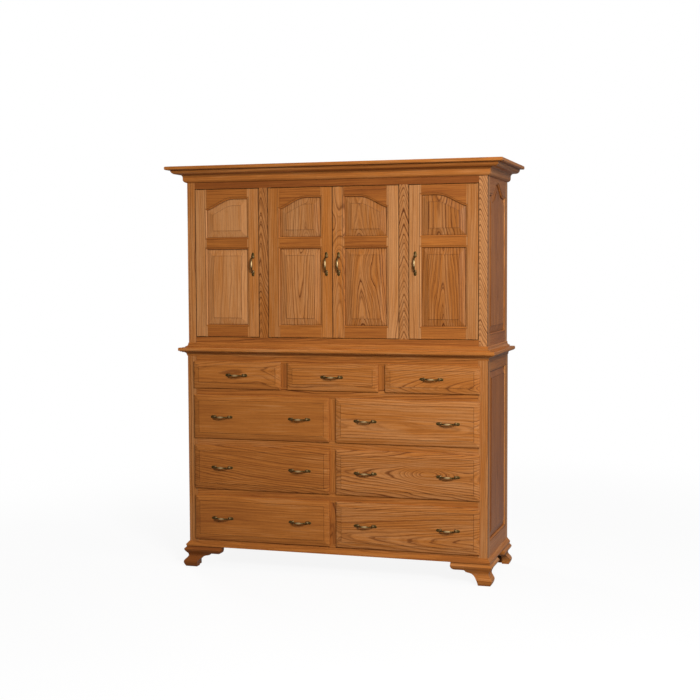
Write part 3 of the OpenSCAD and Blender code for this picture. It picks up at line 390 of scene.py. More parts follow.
class Shell:
    """A closed surface with its points, its faces and, at each point, its grain and figure."""

    def __init__(self, points, faces, board=None, middle=None, glaze=None):
        self.points = np.asarray(points, float).reshape(-1, 3)
        self.faces = [np.asarray(f) for f in faces]
        if self.volume() < 0:
            self.turn()
        count = len(self.points)
        self.glaze = np.zeros(count) if glaze is None else glaze
        if board is None:
            self.grain = np.zeros((count, 3))
            self.figure = np.zeros((count, 3))
            self.bold = np.zeros(count)
            self.knot = np.zeros((count, 3))
        else:
            if middle is None:
                middle = (self.points.min(0) + self.points.max(0)) / 2
            self.grain = board.grain(self.points, middle)
            self.figure = board.figure(count)
            self.bold = board.boldness(count)
            self.knot = np.tile(board.knot, (count, 1))
            # A board's shade darkens all of it: painted shade
            self.glaze = np.maximum(self.glaze, board.shade)

    def volume(self):
        """Sum of the tetrahedra from the origin to each face, cut into a fan of triangles."""
        total = 0.0
        for f in self.faces:
            p = self.points[f]
            spokes = p[:, 1:] - p[:, :1]
            total += np.einsum("ij,ikj->", p[:, 0], np.cross(spokes[:, :-1], spokes[:, 1:]))
        return total

    def turn(self):
        """Turn every face round."""
        self.faces = [f[:, ::-1] for f in self.faces]

    def placed(self, axes, origin):
        """The same shell with its local axes laid along the rows of axes, and its origin moved."""
        axes = np.asarray(axes, float)
        self.points = self.points @ axes + np.asarray(origin, float)
        if np.linalg.det(axes) < 0:
            self.turn()
        return self


def lattice(rows, columns, around=False):
    """Corners of the faces of a grid of points; round a tube the last column joins the first."""
    i = np.arange(rows - 1)[:, None]
    j = np.arange(columns if around else columns - 1)[None, :]
    k = (j + 1) % columns
    corners = (i * columns + j, (i + 1) * columns + j, (i + 1) * columns + k, i * columns + k)
    return np.stack(np.broadcast_arrays(*corners), -1).reshape(-1, 4)


def parted(grid):
    """Points of a grid and, from its fourth column if it has one, how much painted shade and stain darken
    each.
    """
    flat = grid.reshape(-1, grid.shape[-1])
    return flat[:, :3], flat[:, 3] if flat.shape[1] > 3 else np.zeros(len(flat))


def tube(grid, board=None, middle=None):
    """A closed section carried along a path: grid holds one ring of points for each station."""
    stations, count = grid.shape[:2]
    caps = np.arange(count)[None, :]
    faces = [lattice(stations, count, True), caps[:, ::-1], caps + (stations - 1) * count]
    points, glaze = parted(grid)
    return Shell(points, faces, board, middle, glaze)


def sheet(front, back, board=None, middle=None):
    """The space between two grids of the same count, whose edges are joined by a wall.

    Its faces are triangles. Near each corner of the grid their diagonals run towards that corner,
    so a bevel that turns there keeps its mitre.
    """
    n, m = front.shape[:2]
    count = n * m
    a, b, c, d = lattice(n, m).T
    row = np.repeat(np.arange(n - 1), m - 1)
    col = np.tile(np.arange(m - 1), n - 1)
    mitre = ((row < (n - 1) / 2) == (col < (m - 1) / 2))[:, None]
    first = np.where(mitre, np.stack([a, b, c], 1), np.stack([a, b, d], 1))
    second = np.where(mitre, np.stack([a, c, d], 1), np.stack([b, c, d], 1))
    tri = np.concatenate([first, second])
    # The wall runs once round the rim
    i = np.arange(n)
    j = np.arange(m)
    rim = np.concatenate([i * m, (n - 1) * m + j[1:], (i[::-1] * m + m - 1)[1:], j[::-1][1:-1]])
    nxt = np.roll(rim, -1)
    wall = np.stack([nxt, rim, rim + count, nxt + count], 1)
    # stained holds how much the front is darkened: painted shade, partly stain
    ahead, stained = parted(front)
    behind, plain = parted(back)
    points = np.concatenate([ahead, behind])
    return Shell(points, [tri, tri[:, ::-1] + count, wall], board, middle, np.concatenate([stained, plain]))


def level(value, xs):
    """A height, or a curve of x, at each x."""
    return value(xs) if callable(value) else np.full(len(xs), float(value))


def stretch(value, xs):
    """How much farther a line inset square to a curve lies when it is measured upright."""
    slope = (level(value, xs + MM) - level(value, xs - MM)) / (2 * MM)
    return np.sqrt(1 + slope * slope)


def relief(left, right, low, high, steps, columns=1):
    """A face worked in steps from its edge: its lines follow the outline, inset by each step.

    steps are (inset, height, darkening) from the edge to the field, the darkening being painted shade,
    partly stain. low and high are heights or curves of x.
    """
    inset, height, glaze = np.array([(*step, 0.0)[:3] for step in steps]).T
    k = len(steps)
    middle = np.linspace(left + inset[-1], right - inset[-1], columns + 1)[1:-1]
    xs = np.concatenate([left + inset, middle, right - inset[::-1]])
    column_step = np.concatenate([np.arange(k), np.full(len(middle), k - 1), np.arange(k)[::-1]])
    row_step = np.concatenate([np.arange(k), np.arange(k)[::-1]])
    lows = level(low, xs)[:, None] + inset * stretch(low, xs)[:, None]
    highs = level(high, xs)[:, None] - inset[::-1] * stretch(high, xs)[:, None]
    ys = np.concatenate([lows, highs], 1)
    step = np.minimum(column_step[:, None], row_step[None, :])
    return np.stack([np.broadcast_to(xs[:, None], ys.shape), ys, height[step], glaze[step]], -1)


def worked(left, right, low, high, ahead, behind, board, middle=None, columns=1):
    """A board with a worked face in front and another behind."""
    front = relief(left, right, low, high, ahead, columns)
    back = relief(left, right, low, high, behind, columns)
    return sheet(front, back, board, middle)


def plank(left, right, low, high, front, thickness, along, ease, kind="mixed", tone=None):
    """A board in a local frame, with its face at z = front and its edges eased by a quarter round."""
    soft = 0.3 * ease
    back = front - thickness
    board = Board(along, 2, front, kind, tone=tone)
    # The edges are darkened: painted shade that deepens the gaps between boards
    ahead = [(0, front - ease, 1.0), (soft, front - soft, 0.6), (ease, front)]
    behind = [(0, back + ease, 1.0), (soft, back + soft, 0.6), (ease, back)]
    return worked(left, right, low, high, ahead, behind, board)


def solids(node):
    """Lowest and highest corners of each separate solid of a CAD node, as an array of (solid, 2, 3)."""
    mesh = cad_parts[node].data
    co = np.zeros(len(mesh.vertices) * 3)
    mesh.vertices.foreach_get("co", co)
    corner = np.zeros(len(mesh.loops), int)
    mesh.loops.foreach_get("vertex_index", corner)
    co = co.reshape(-1, 3)
    _, same = np.unique(np.round(co / SAME_POINT).astype(int), axis=0, return_inverse=True)
    tri = same.reshape(-1)[corner].reshape(-1, 3)
    label = np.arange(same.max() + 1)
    # Each point takes the least label of its triangles, until no label changes
    while True:
        least = label[tri].min(1)
        new = label.copy()
        np.minimum.at(new, tri.reshape(-1), np.repeat(least, 3))
        if np.array_equal(new, label):
            break
        label = new
    mine = label[same.reshape(-1)]
    found = np.unique(mine)
    return np.array([[co[mine == k].min(0), co[mine == k].max(0)] for k in found])


def planks_of(node, ease, kind=None):
    """One eased plank at each solid of a CAD node, with its grain along its longest side.

    Its thinnest side is its thickness. kind may be a function of a board's two corners that gives its
    figure and tone.
    """
    shells = []
    for low, high in solids(node):
        span = high - low
        along = int(np.argmax(span))
        face = int(np.argmin(span))
        across = 3 - along - face
        axes = np.zeros((3, 3))
        axes[0, along] = 1
        axes[1, across] = 1
        axes[2, face] = -1
        name, tone = kind(low, high) if kind else ("mixed", None)
        board = plank(0, span[along], 0, span[across], 0, span[face], 0, ease, name, tone=tone)
        shells.append(board.placed(axes, low))
    return shells


def make_piece(name, shells, nodes, body, material, crease=9.0):
    """One object from many shells, which rides on a body and stands for CAD nodes."""
    starts = np.cumsum([0] + [len(s.points) for s in shells])
    points = np.concatenate([s.points for s in shells])
    faces = [row for s, at in zip(shells, starts) for f in s.faces for row in (f + at).tolist()]
    mesh = bpy.data.meshes.new(name)
    mesh.from_pydata(points.tolist(), [], faces)
    for layer in ("grain", "figure", "knot"):
        values = np.concatenate([getattr(s, layer) for s in shells]).astype(np.float32)
        mesh.attributes.new(layer, "FLOAT_VECTOR", "POINT").data.foreach_set("vector", values.ravel())
    for layer in ("bold", "glaze"):
        values = np.concatenate([getattr(s, layer) for s in shells]).astype(np.float32)
        mesh.attributes.new(layer, "FLOAT", "POINT").data.foreach_set("value", values)
    mesh.shade_smooth()
    mesh.set_sharp_from_angle(angle=math.radians(crease))
    mesh.materials.append(material)
    piece = bpy.data.objects.new(name, mesh)
    bpy.context.scene.collection.objects.link(piece)
    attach(piece, body)
    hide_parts(*nodes)
    return piece


# Outlines of openings


def half_arch(u):
    """Climb of a door's arch from 0 to 1: part of a cosine wave, then level."""
    lead, run = math.radians(35), 0.66
    angle = lead + (math.pi - lead) * np.minimum(1, u / run)
    return (math.cos(lead) - np.cos(angle)) / (math.cos(lead) + 1)


def cathedral(u):
    """A single cosine wave in the middle of a level line."""
    run = 0.36
    return (1 + np.cos(math.pi * np.minimum(1, np.abs(u - 0.5) / run))) / 2


class Opening:
    """An opening of a frame: its edges, and the curve of its top."""

    def __init__(self, left, right, low, high, drop=0.0, climb=None):
        self.left, self.right, self.low, self.high = left, right, low, high
        self.drop, self.climb = drop, climb
        self.columns = ARCH_COLUMNS if climb else 1

    def top(self, xs):
        """Height of the top edge at each x."""
        u = np.clip((xs - self.left) / (self.right - self.left), 0, 1)
        rise = self.climb(u) if self.climb else np.ones(len(u))
        return self.high - self.drop * (1 - rise)

    def top_at(self, xs, inset):
        """Height of the top edge drawn in square to itself by an inset."""
        return self.top(xs) - inset * stretch(self.top, xs)

    def grown(self, stick):
        """The curve of the top edge moved out by the width of the moulded edge."""
        return lambda xs: self.top_at(xs, -stick)

    def strip(self, side, section, board, middle):
        """One length of the moulded edge, mitred at both ends; section is of (inset, height, darkening),
        the darkening being painted shade.
        """
        inset, height, glaze = np.array(section, float).T
        left, right, low = self.left + inset, self.right - inset, self.low + inset
        if side == "top":
            t = np.linspace(0, 1, self.columns + 1)[:, None]
            xs = left + t * (right - left)
            ys = np.stack([self.top_at(row, inset) for row in xs])
        elif side == "low":
            xs = np.stack([left, right])
            ys = np.stack([low, low])
        else:
            edge = left if side == "left" else right
            xs = np.stack([edge, edge])
            ys = np.stack([low, self.top_at(edge, inset)])
        grid = np.stack([xs, ys, np.broadcast_to(height, xs.shape), np.broadcast_to(glaze, xs.shape)], -1)
        return tube(grid, board, middle)


def stick_section(joinery, thickness):
    """Section of the moulded edge: a flat, then an ovolo that falls to the opening."""
    width, depth, quirk = joinery.stick_width, joinery.stick_depth, joinery.quirk
    reach = 0.62 * width
    flat = 0.15 * width
    bows = np.linspace(math.pi / 2, 0, 9)
    fall = depth - quirk
    curve = [(-reach + reach * math.cos(a), -quirk - fall * (1 - math.sin(a)), 0.0) for a in bows]
    # The corners at the frame's face and at the opening are darkened: painted shade, partly stain gathered
    # there
    start = [(-width, -thickness, 0.0), (-width, -quirk, 1.0), (flat - width, -quirk, 0.3)]
    return start + curve + [(0, -thickness, 1.0)]


def framed(width, height, thickness, left_w, right_w, openings, joinery, name="", tone=0.0):
    """A frame in a local frame: stiles, rails and the moulded edges of its openings, from the lowest up.

    A moulded edge is a shell of its own with the grain of its board.
    """
    stick = joinery.stick_width
    section = stick_section(joinery, thickness)
    ease = joinery.ease
    deep = -thickness
    soft, tiny, rim = 0.3 * ease, ease / 10, 3 * ease
    in_left, in_right = left_w, width - right_w
    shells = []
    for edge, x0, x1, s0, s1 in (
        ("left", 0, in_left - stick, in_left - stick, in_left),
        ("right", in_right + stick, width, in_right, in_right + stick),
    ):
        known = f"{name}_{edge}_stile"
        board = Board(1, 2, 0.0, known if known in FIGURED else "straight", tone=tone + STILE_TONE)
        middle = ((x0 + x1) / 2, height / 2, 0)
        # The stile's edges are darkened: painted shade along its gaps
        ahead = [(0, -ease, 1.0), (soft, -soft, 1.0), (ease, 0, 0.8), (rim, 0)]
        behind = [(0, ease + deep, 1.0), (soft, soft + deep), (ease, deep), (rim, deep)]
        shells.append(worked(x0, x1, 0, height, ahead, behind, board, middle))
        low = 0.0
        for o in [*openings, None]:
            high = height if o is None else o.low - stick
            ahead, behind = [(0, 0), (tiny, 0)], [(0, deep), (tiny, deep)]
            shells.append(worked(s0, s1, low, high, ahead, behind, board, middle))
            if o is not None:
                shells.append(o.strip(edge, section, board, middle))
                at = np.array([in_left if edge == "left" else in_right])
                low = float(o.top_at(at, -stick)[0])
    low = 0.0
    for under, o in zip([None, *openings], [*openings, None]):
        high = height if o is None else o.low - stick
        board = Board(0, 2, 0.0, "straight", tone=tone + RAIL_TONE)
        curve, columns = low, 1
        if under is not None:
            columns = under.columns
            if under.climb:
                curve = under.grown(stick)
        middle = (width / 2, (low + high) / 2, 0)
        # The rail's outline is darkened: painted shade along its edges
        ahead = [(0, 0, 0.6), (tiny, 0, 0.6), (rim, 0)]
        behind = [(0, deep), (tiny, deep), (rim, deep)]
        shells.append(worked(in_left, in_right, curve, high, ahead, behind, board, middle, columns))
        if under is not None:
            shells.append(under.strip("top", section, board, middle))
        if o is not None:
            shells.append(o.strip("low", section, board, middle))
            low = o.high + stick
    return shells


def raised(o, joinery, kind, tone=None):
    """A raised panel in an opening: a flat, a bevel, a quirk and a field, with its tongue in the groove."""
    deep, field, tongue = joinery.panel_deep, joinery.panel_field, joinery.panel_tongue
    foot = field + joinery.quirk
    flat = joinery.panel_flat
    top = flat + joinery.panel_bevel
    climb = (deep - foot) * LEAD / joinery.panel_bevel
    # The corners at the flat and at the field are darkened: painted shade in the recesses, partly stain
    # gathered there
    steps = [
        (-tongue, -deep, 1.0),
        (CORNER, -deep, 1.0),
        (flat, -deep, 0.3),
        (flat + LEAD, -deep + climb, 0.0),
        (top - LEAD, -foot - climb, 0.0),
        (top, -foot, 1.0),
        (top + CORNER, -field - DROP, 0.7),
        (top + FLAT, -field, 0.0),
    ]
    behind = [(k * MM - tongue, -deep - tongue) for k in range(len(steps))]
    board = Board(1, 2, 0.0, kind, tone=tone)
    high = o.top if o.climb else o.high
    return worked(o.left, o.right, o.low, high, steps, behind, board, columns=o.columns)


def drawer_front(width, height, proud, rabbet, joinery, kind):
    """A drawer front that laps the face frame at z = 0: an edge, a hollow bevel, a quirk and a field.

    Behind, a rabbet leaves a block that fits the drawer's opening.
    """
    edge, bevel = joinery.front_edge, joinery.front_bevel
    shoulder = proud - joinery.quirk
    knee = edge + joinery.front_knee * (shoulder - edge)
    # The corner at the field's foot is darkened: painted shade, partly stain gathered there
    steps = [
        (0, edge - joinery.ease),
        (joinery.ease, edge),
        (bevel / 2, knee),
        (bevel - LEAD, shoulder - (shoulder - knee) * LEAD / (bevel / 2)),
        (bevel, shoulder, 1.0),
        (bevel + CORNER, proud - DROP, 0.7),
        (bevel + FLAT, proud),
    ]
    inner = joinery.lap + joinery.front_play
    behind = [
        (0, DROP),
        (inner - 7 * MM, DROP),
        (inner - 3 * MM, DROP),
        (inner - HAIR, DROP),
        (inner, -rabbet + 4 * HAIR),
        (inner + 4 * HAIR, -rabbet),
        (inner + 2 * MM, -rabbet),
    ]
    return worked(0, width, 0, height, steps, behind, Board(0, 2, proud, kind))


# Materials


def socket(group, name, kind, way, value=None):
    """A named input or output of a node group."""
    made = group.interface.new_socket(name=name, in_out=way, socket_type=kind)
    if value is not None:
        made.default_value = value
    return made


def add(tree, kind, inputs=None, **settings):
    """A node with its settings, and its inputs set to values or linked to sockets."""
    made = tree.nodes.new(kind)
    for key, value in settings.items():
        setattr(made, key, value)
    for key, value in (inputs or {}).items():
        if isinstance(value, bpy.types.NodeSocket):
            tree.links.new(value, made.inputs[key])
        else:
            made.inputs[key].default_value = value
    return made


def math_node(tree, operation, a, b=0.0, c=0.0, clamp=False):
    """The result of one sum on two or three values."""
    made = tree.nodes.new("ShaderNodeMath")
    made.operation = operation
    made.use_clamp = clamp
    for at, value in enumerate((a, b, c)):
        if isinstance(value, bpy.types.NodeSocket):
            tree.links.new(value, made.inputs[at])
        else:
            made.inputs[at].default_value = value
    return made.outputs[0]


def blend_colour(tree, share, a, b):
    """Colour b over colour a by a share."""
    made = tree.nodes.new("ShaderNodeMix")
    made.data_type = "RGBA"
    for at, value in ((0, share), (6, a), (7, b)):
        if isinstance(value, bpy.types.NodeSocket):
            tree.links.new(value, made.inputs[at])
        elif at == 0:
            made.inputs[at].default_value = value
        else:
            made.inputs[at].default_value = (*value[:3], 1.0)
    return made.outputs[2]


def seen_ray(tree, mirrored):
    """One for rays from the camera, a smaller share for rays off a shiny or clear surface, else nothing."""
    path = add(tree, "ShaderNodeLightPath").outputs
    shiny = math_node(tree, "MAXIMUM", path["Is Glossy Ray"], path["Is Transmission Ray"])
    return math_node(tree, "MAXIMUM", path["Is Camera Ray"], math_node(tree, "MULTIPLY", shiny, mirrored))


def noise(tree, vector, scale, seed, detail):
    """A value from 0 to 1 that wanders with the vector times a scale on each axis."""
    scaled = add(tree, "ShaderNodeVectorMath", {0: vector, 1: scale}, operation="MULTIPLY").outputs[0]
    made = add(
        tree,
        "ShaderNodeTexNoise",
        {"Vector": scaled, "Scale": 1.0, "Detail": detail},
        noise_dimensions="4D" if seed is not None else "3D",
    )
    if seed is not None:
        tree.links.new(seed, made.inputs["W"])
    return made.outputs["Fac"]


def oak_group(look):
    """Shader group that saws oak: log coordinates and a board's figure in; colour, roughness, height out.

    A ring's radius is the distance from the log's axis, plus the taper along the grain, a knot's push of
    k * exp(-(x / a) ** 2 - (y / b) ** 2) and three waves, from slow to fine. Each ring starts dark with
    open pores and fades to dense late wood.
    """
    group = bpy.data.node_groups.new("Sawn oak", "ShaderNodeTree")
    for name, kind, value in (
        ("Grain", "NodeSocketVector", None),
        ("Figure", "NodeSocketVector", None),
        ("Knot", "NodeSocketVector", None),
        ("Bold", "NodeSocketFloat", 0.5),
        ("Glaze", "NodeSocketFloat", 0.0),
        ("Light", "NodeSocketColor", (0.5, 0.3, 0.1, 1.0)),
        ("Mid", "NodeSocketColor", (0.4, 0.2, 0.1, 1.0)),
        ("Deep", "NodeSocketColor", (0.3, 0.1, 0.05, 1.0)),
        ("Dark", "NodeSocketColor", (0.2, 0.1, 0.05, 1.0)),
        ("Ring Width", "NodeSocketFloat", 0.005),
        ("Ring Contrast", "NodeSocketFloat", 0.6),
        ("Pores", "NodeSocketFloat", 0.5),
        ("Base Roughness", "NodeSocketFloat", 0.4),
    ):
        socket(group, name, kind, "INPUT", value)
    for name, kind in (("Color", "Color"), ("Roughness", "Float"), ("Height", "Float")):
        socket(group, name, "NodeSocket" + kind, "OUTPUT")
    given = group.nodes.new("NodeGroupInput").outputs
    along, across, up = add(group, "ShaderNodeSeparateXYZ", {0: given["Grain"]}).outputs
    tone, taper, seed = add(group, "ShaderNodeSeparateXYZ", {0: given["Figure"]}).outputs
    knot_along, knot_across, push = add(group, "ShaderNodeSeparateXYZ", {0: given["Knot"]}).outputs

    def m(*args, **kw):
        """A sum in this group."""
        return math_node(group, *args, **kw)

    def wave(lengthwise, crosswise, detail, own=True):
        """Noise with so many waves to the metre along and across the grain, each board's own or not."""
        scale = (lengthwise, crosswise, crosswise)
        return noise(group, given["Grain"], scale, seed if own else None, detail)

    def sway(value, reach, base):
        """A base plus a reach times how far a value lies from its middle."""
        return m("MULTIPLY_ADD", m("SUBTRACT", value, 0.5), reach, base)

    def above(value, floor, gain):
        """How far a value lies above a floor, times a gain, kept from 0 to 1."""
        return m("MULTIPLY", m("SUBTRACT", value, floor), gain, clamp=True)

    def dimmed(light, mask, share):
        """A light made darker by a share where a mask is 1."""
        return m("MULTIPLY", light, m("MULTIPLY_ADD", mask, -share, 1.0))

    def yearly(value, scale, detail):
        """Noise that changes from year to year."""
        inputs = {"W": value, "Scale": scale, "Detail": detail}
        return add(group, "ShaderNodeTexNoise", inputs, noise_dimensions="1D").outputs["Fac"]

    radius = m("SQRT", m("ADD", m("MULTIPLY", across, across), m("MULTIPLY", up, up)))
    radius = m("ADD", radius, m("MULTIPLY", taper, along))
    x = m("DIVIDE", m("SUBTRACT", along, knot_along), look.knot_length)
    y = m("DIVIDE", m("SUBTRACT", across, knot_across), look.knot_width)
    far = m("MULTIPLY_ADD", x, x, m("MULTIPLY", y, y))
    radius = m("MULTIPLY_ADD", m("EXPONENT", m("MULTIPLY", far, -1.0)), push, radius)
    radius = sway(wave(1.6, 9.0, 1.0), look.wander, radius)
    radius = sway(wave(7.0, 42.0, 2.0), look.waver, radius)
    radius = sway(wave(22.0, 240.0, 1.0), look.ripple, radius)

    # Years of uneven width, some bolder than others
    years = m("DIVIDE", radius, given["Ring Width"])
    uneven = yearly(m("ADD", m("MULTIPLY", years, 0.45), seed), 1.0, 1.0)
    years = m("ADD", years, m("MULTIPLY", uneven, 1.3))
    ramp = add(group, "ShaderNodeValToRGB", {"Fac": m("FRACT", years)})
    ramp.color_ramp.interpolation = "B_SPLINE"
    for position, _ in YEAR[1:-1]:
        ramp.color_ramp.elements.new(position)
    for element, (position, value) in zip(ramp.color_ramp.elements, YEAR):
        element.position = position
        element.color = (value, value, value, 1.0)
    strength = yearly(m("ADD", m("MULTIPLY", years, 0.8), m("MULTIPLY", seed, 3.0)), 5.0, 0.0)
    bold_year = above(strength, 0.45, 5.0)
    early = m("MULTIPLY", ramp.outputs["Color"], m("MULTIPLY_ADD", bold_year, 0.75, 0.35), clamp=True)
    early = m("MULTIPLY", early, m("MULTIPLY", given["Ring Contrast"], given["Bold"]), clamp=True)

    # Stain that takes unevenly, in patches and streaks
    stain = sway(wave(2.2, 16.0, 3.0), look.patches, tone)
    stain = sway(wave(6.0, 140.0, 2.0), look.streaks, stain)
    pale, deep = m("MAXIMUM", stain, 0.0, clamp=True), m("MULTIPLY", stain, -1.0, clamp=True)
    wood = blend_colour(group, pale, given["Mid"], given["Light"])
    wood = blend_colour(group, deep, wood, given["Deep"])
    wood = blend_colour(group, early, wood, given["Dark"])

    # Fibres, long dashes, open pores and the darkening in corners and along edges: painted shade, partly
    # stain
    dash = above(wave(45.0, 900.0, 0.0, False), 0.60, 7.0)
    pore = above(wave(120.0, 3200.0, 0.0, False), 0.58, 9.0)
    open_pore = m("MULTIPLY", pore, m("MULTIPLY_ADD", early, 0.9, 0.25), clamp=True)
    light = sway(wave(14.0, 520.0, 2.0, False), 0.34, 1.0)
    light = dimmed(light, m("MULTIPLY", dash, given["Pores"]), 0.30)
    light = dimmed(light, m("MULTIPLY", open_pore, given["Pores"]), 0.75)
    # Painted shade, partly stain: darker where a point is marked
    light = dimmed(light, given["Glaze"], look.glaze)
    shaded = add(group, "ShaderNodeVectorMath", {0: wood, "Scale": light}, operation="SCALE").outputs[0]
    rough = m("MULTIPLY_ADD", early, 0.08, given["Base Roughness"])
    rough = m("MULTIPLY_ADD", open_pore, 0.25, rough)
    height = m("MULTIPLY", m("ADD", open_pore, m("MULTIPLY", early, 0.12)), -1.0)
    out = group.nodes.new("NodeGroupOutput")
    for name, value in (("Color", shaded), ("Roughness", rough), ("Height", height)):
        group.links.new(value, out.inputs[name])
    return group


def oak_material(name, group, finish):
    """Oak that reads the grain, figure, knot, boldness and darkening which each board carries, the
    darkening being painted shade, partly stain.
    """
    look = bpy.context.scene.oak_figure
    made = bpy.data.materials.new(name)
    made.use_nodes = True
    tree = made.node_tree
    shader = tree.nodes["Principled BSDF"]
    oak = add(tree, "ShaderNodeGroup", node_tree=group)
    for carried in ("Grain", "Figure", "Knot"):
        vector = add(tree, "ShaderNodeAttribute", attribute_name=carried.lower()).outputs["Vector"]
        tree.links.new(vector, oak.inputs[carried])
    for carried in ("Bold", "Glaze"):
        value = add(tree, "ShaderNodeAttribute", attribute_name=carried.lower()).outputs["Fac"]
        tree.links.new(value, oak.inputs[carried])
    for shade in ("Light", "Mid", "Deep", "Dark"):
        oak.inputs[shade].default_value = (*getattr(finish, shade.lower()), 1.0)
    oak.inputs["Ring Width"].default_value = look.ring
    oak.inputs["Ring Contrast"].default_value = finish.rings
    oak.inputs["Pores"].default_value = look.pores
    oak.inputs["Base Roughness"].default_value = finish.roughness
    tree.links.new(oak.outputs["Color"], shader.inputs["Base Color"])
    tree.links.new(oak.outputs["Roughness"], shader.inputs["Roughness"])
    shader.inputs["Specular IOR Level"].default_value = finish.shine
    dent = {"Height": oak.outputs["Height"], "Strength": 0.35, "Distance": 0.0003}
    tree.links.new(add(tree, "ShaderNodeBump", dent).outputs["Normal"], shader.inputs["Normal"])
    return made


def brass_material(finish):
    """Aged brass: dark in the hollows, bright where the first figure value says that hands reach, which on
    a bow's grip is also a painted highlight.
    """
    made = bpy.data.materials.new("antique_brass")
    made.use_nodes = True
    tree = made.node_tree
    shader = tree.nodes["Principled BSDF"]
    carried = add(tree, "ShaderNodeAttribute", attribute_name="figure").outputs["Vector"]
    # Share of the bright colour: wear, and a painted highlight on a bow's grip
    rub = add(tree, "ShaderNodeSeparateXYZ", {0: carried}).outputs[0]
    place = add(tree, "ShaderNodeTexCoord").outputs["Object"]
    mottle = noise(tree, place, (260.0, 260.0, 260.0), None, 3.0)
    share = math_node(tree, "MULTIPLY_ADD", math_node(tree, "SUBTRACT", mottle, 0.5), 0.5, rub, clamp=True)
    brass = blend_colour(tree, share, tuple(finish.dark), tuple(finish.worn_and_highlight))
    rough = math_node(tree, "MULTIPLY_ADD", mottle, 0.25, finish.roughness - 0.12)
    tree.links.new(brass, shader.inputs["Base Color"])
    tree.links.new(rough, shader.inputs["Roughness"])
    shader.inputs["Metallic"].default_value = 1.0
    return made


def finishes():
    """The chest's materials by slot, made once."""
    if not FINISHES:
        scene = bpy.context.scene
        group = oak_group(scene.oak_figure)
        FINISHES["stained_oak"] = oak_material("honey_stained_oak", group, scene.stained_oak)
        FINISHES["inner_oak"] = oak_material("pale_oak", group, scene.pale_oak)
        FINISHES["oak_plywood"] = oak_material("oak_veneer", group, scene.oak_veneer)
        FINISHES["antique_brass"] = brass_material(scene.brass_finish)
    return FINISHES


# Pieces


def corners(node):
    """Lowest and highest corner of a CAD node as arrays."""
    low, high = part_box(node)
    return np.array(low), np.array(high)


def hollows(profile):
    """How far a closed profile turns inward at each of its points, as a share of a right angle."""
    here = np.array(profile, float)
    before = here - np.roll(here, 1, 0)
    after = np.roll(here, -1, 0) - here
    cross = before[:, 0] * after[:, 1] - before[:, 1] * after[:, 0]
    angle = np.arctan2(cross, (before * after).sum(1))
    return np.clip(-np.sign(angle.sum()) * angle / (math.pi / 2), 0, 1)


def moulding(profile, outer, front, back, base, tone, stain):
    """Three mitred lengths of a profile of (projection, height) round the front and sides of a case."""
    out, up = np.array(profile, float).T
    # Hollows are darkened by stain times their turn: painted shade in the coves, partly stain gathered
    # there
    glaze = np.clip(stain * hollows(profile), 0, 1)
    z = base + up
    ends = [np.stack([side * (outer + out), front - out, z, glaze], 1) for side in (-1.0, 1.0)]
    shells = [tube(np.stack(ends), Board(0, 1, front, "straight", -1.0, tone))]
    for side, end in zip((-1.0, 1.0), ends):
        hind = np.stack([side * (outer + out), np.full(len(out), back), z, glaze], 1)
        shells.append(tube(np.stack([end, hind]), Board(1, 0, side * outer, "straight", side, tone)))
    return shells


def bend(centre, radius, start, stop, count=8):
    """Points on an arc, from one angle to another in degrees."""
    a = np.radians(np.linspace(start, stop, count + 1))
    return [(centre[0] + radius * math.cos(t), centre[1] + radius * math.sin(t)) for t in a]


def metres(points):
    """Points given in millimetres, in metres."""
    return [(p * MM, h * MM) for p, h in points]


def crown_profile():
    """Bead, flat, cove, fillet, ovolo and lip."""
    points = (
        bend((0, 17), 17, -90, 0)
        + bend((33, 26), 16, 180, 90)
        + bend((44, 63), 21, -90, 0)
        + [(85, 63), (88, 66), (88, 77), (85, 80), (0, 80)]
    )
    return metres(points)


def waist_cove_profile():
    """A cove with a lip at each end."""
    points = [(0, 0), (3, 0)] + bend((19, 3), 16, 180, 90) + [(22, 19), (22, 22), (0, 22)]
    return metres(points)


def upper_mould_profile():
    """A small cove that spreads towards the waist board."""
    points = [(0, 0), (15, 0)] + bend((15, 18.25), 12, -90, -180) + [(3, 22), (0, 25)]
    return metres(points)


def base_mould_profile():
    """A plain sloping moulding."""
    points = [(0, 0), (15, 0), (15, 8.333), (12, 11.333), (3, 22), (0, 25)]
    return metres(points)


def waist_nose_profile():
    """The nose of the waist board: a step, a small round, a straight and a larger round."""
    points = [(0, 0), (31, 0), (31, 3)] + bend((34, 7), 4, -90, 0) + bend((33, 15), 5, 0, 90) + [(0, 20)]
    return metres(points)


def ogee(heights):
    """Projection of a bracket foot at each height, by way of its sole, toe, hollow, bulge and notch.

    It climbs to the toe as a quarter of a sine wave, and passes between the others as half cosine waves.
    """
    keys = np.array([(0, 15.7), (25, 25.4), (57, 5), (91, 23.4), (104, 12.7), (108, 12.7)]) * MM
    at = np.clip(np.searchsorted(keys[:, 0], heights, side="right") - 1, 0, len(keys) - 2)
    t = np.clip((heights - keys[at, 0]) / (keys[at + 1, 0] - keys[at, 0]), 0, 1)
    swell = np.where(at == 0, np.sin(math.pi / 2 * t), (1 - np.cos(math.pi * t)) / 2)
    return keys[at, 1] + (keys[at + 1, 1] - keys[at, 1]) * swell


def scroll(xs):
    """Height of the scrolled lower edge of a bracket at each distance from its corner."""
    points = np.array(
        [(-60, 0), (45, 0)]
        + bend((104, 0), 59, 180, 105, 16)[1:]
        + [(109, 61)]
        + bend((119, 61), 10, 180, 90, 6)[1:]
        + [(163, 71)]
        + bend((163, 91), 20, -90, 0, 8)[1:]
    )
    return np.interp(xs, points[:, 0] * MM, points[:, 1] * MM)


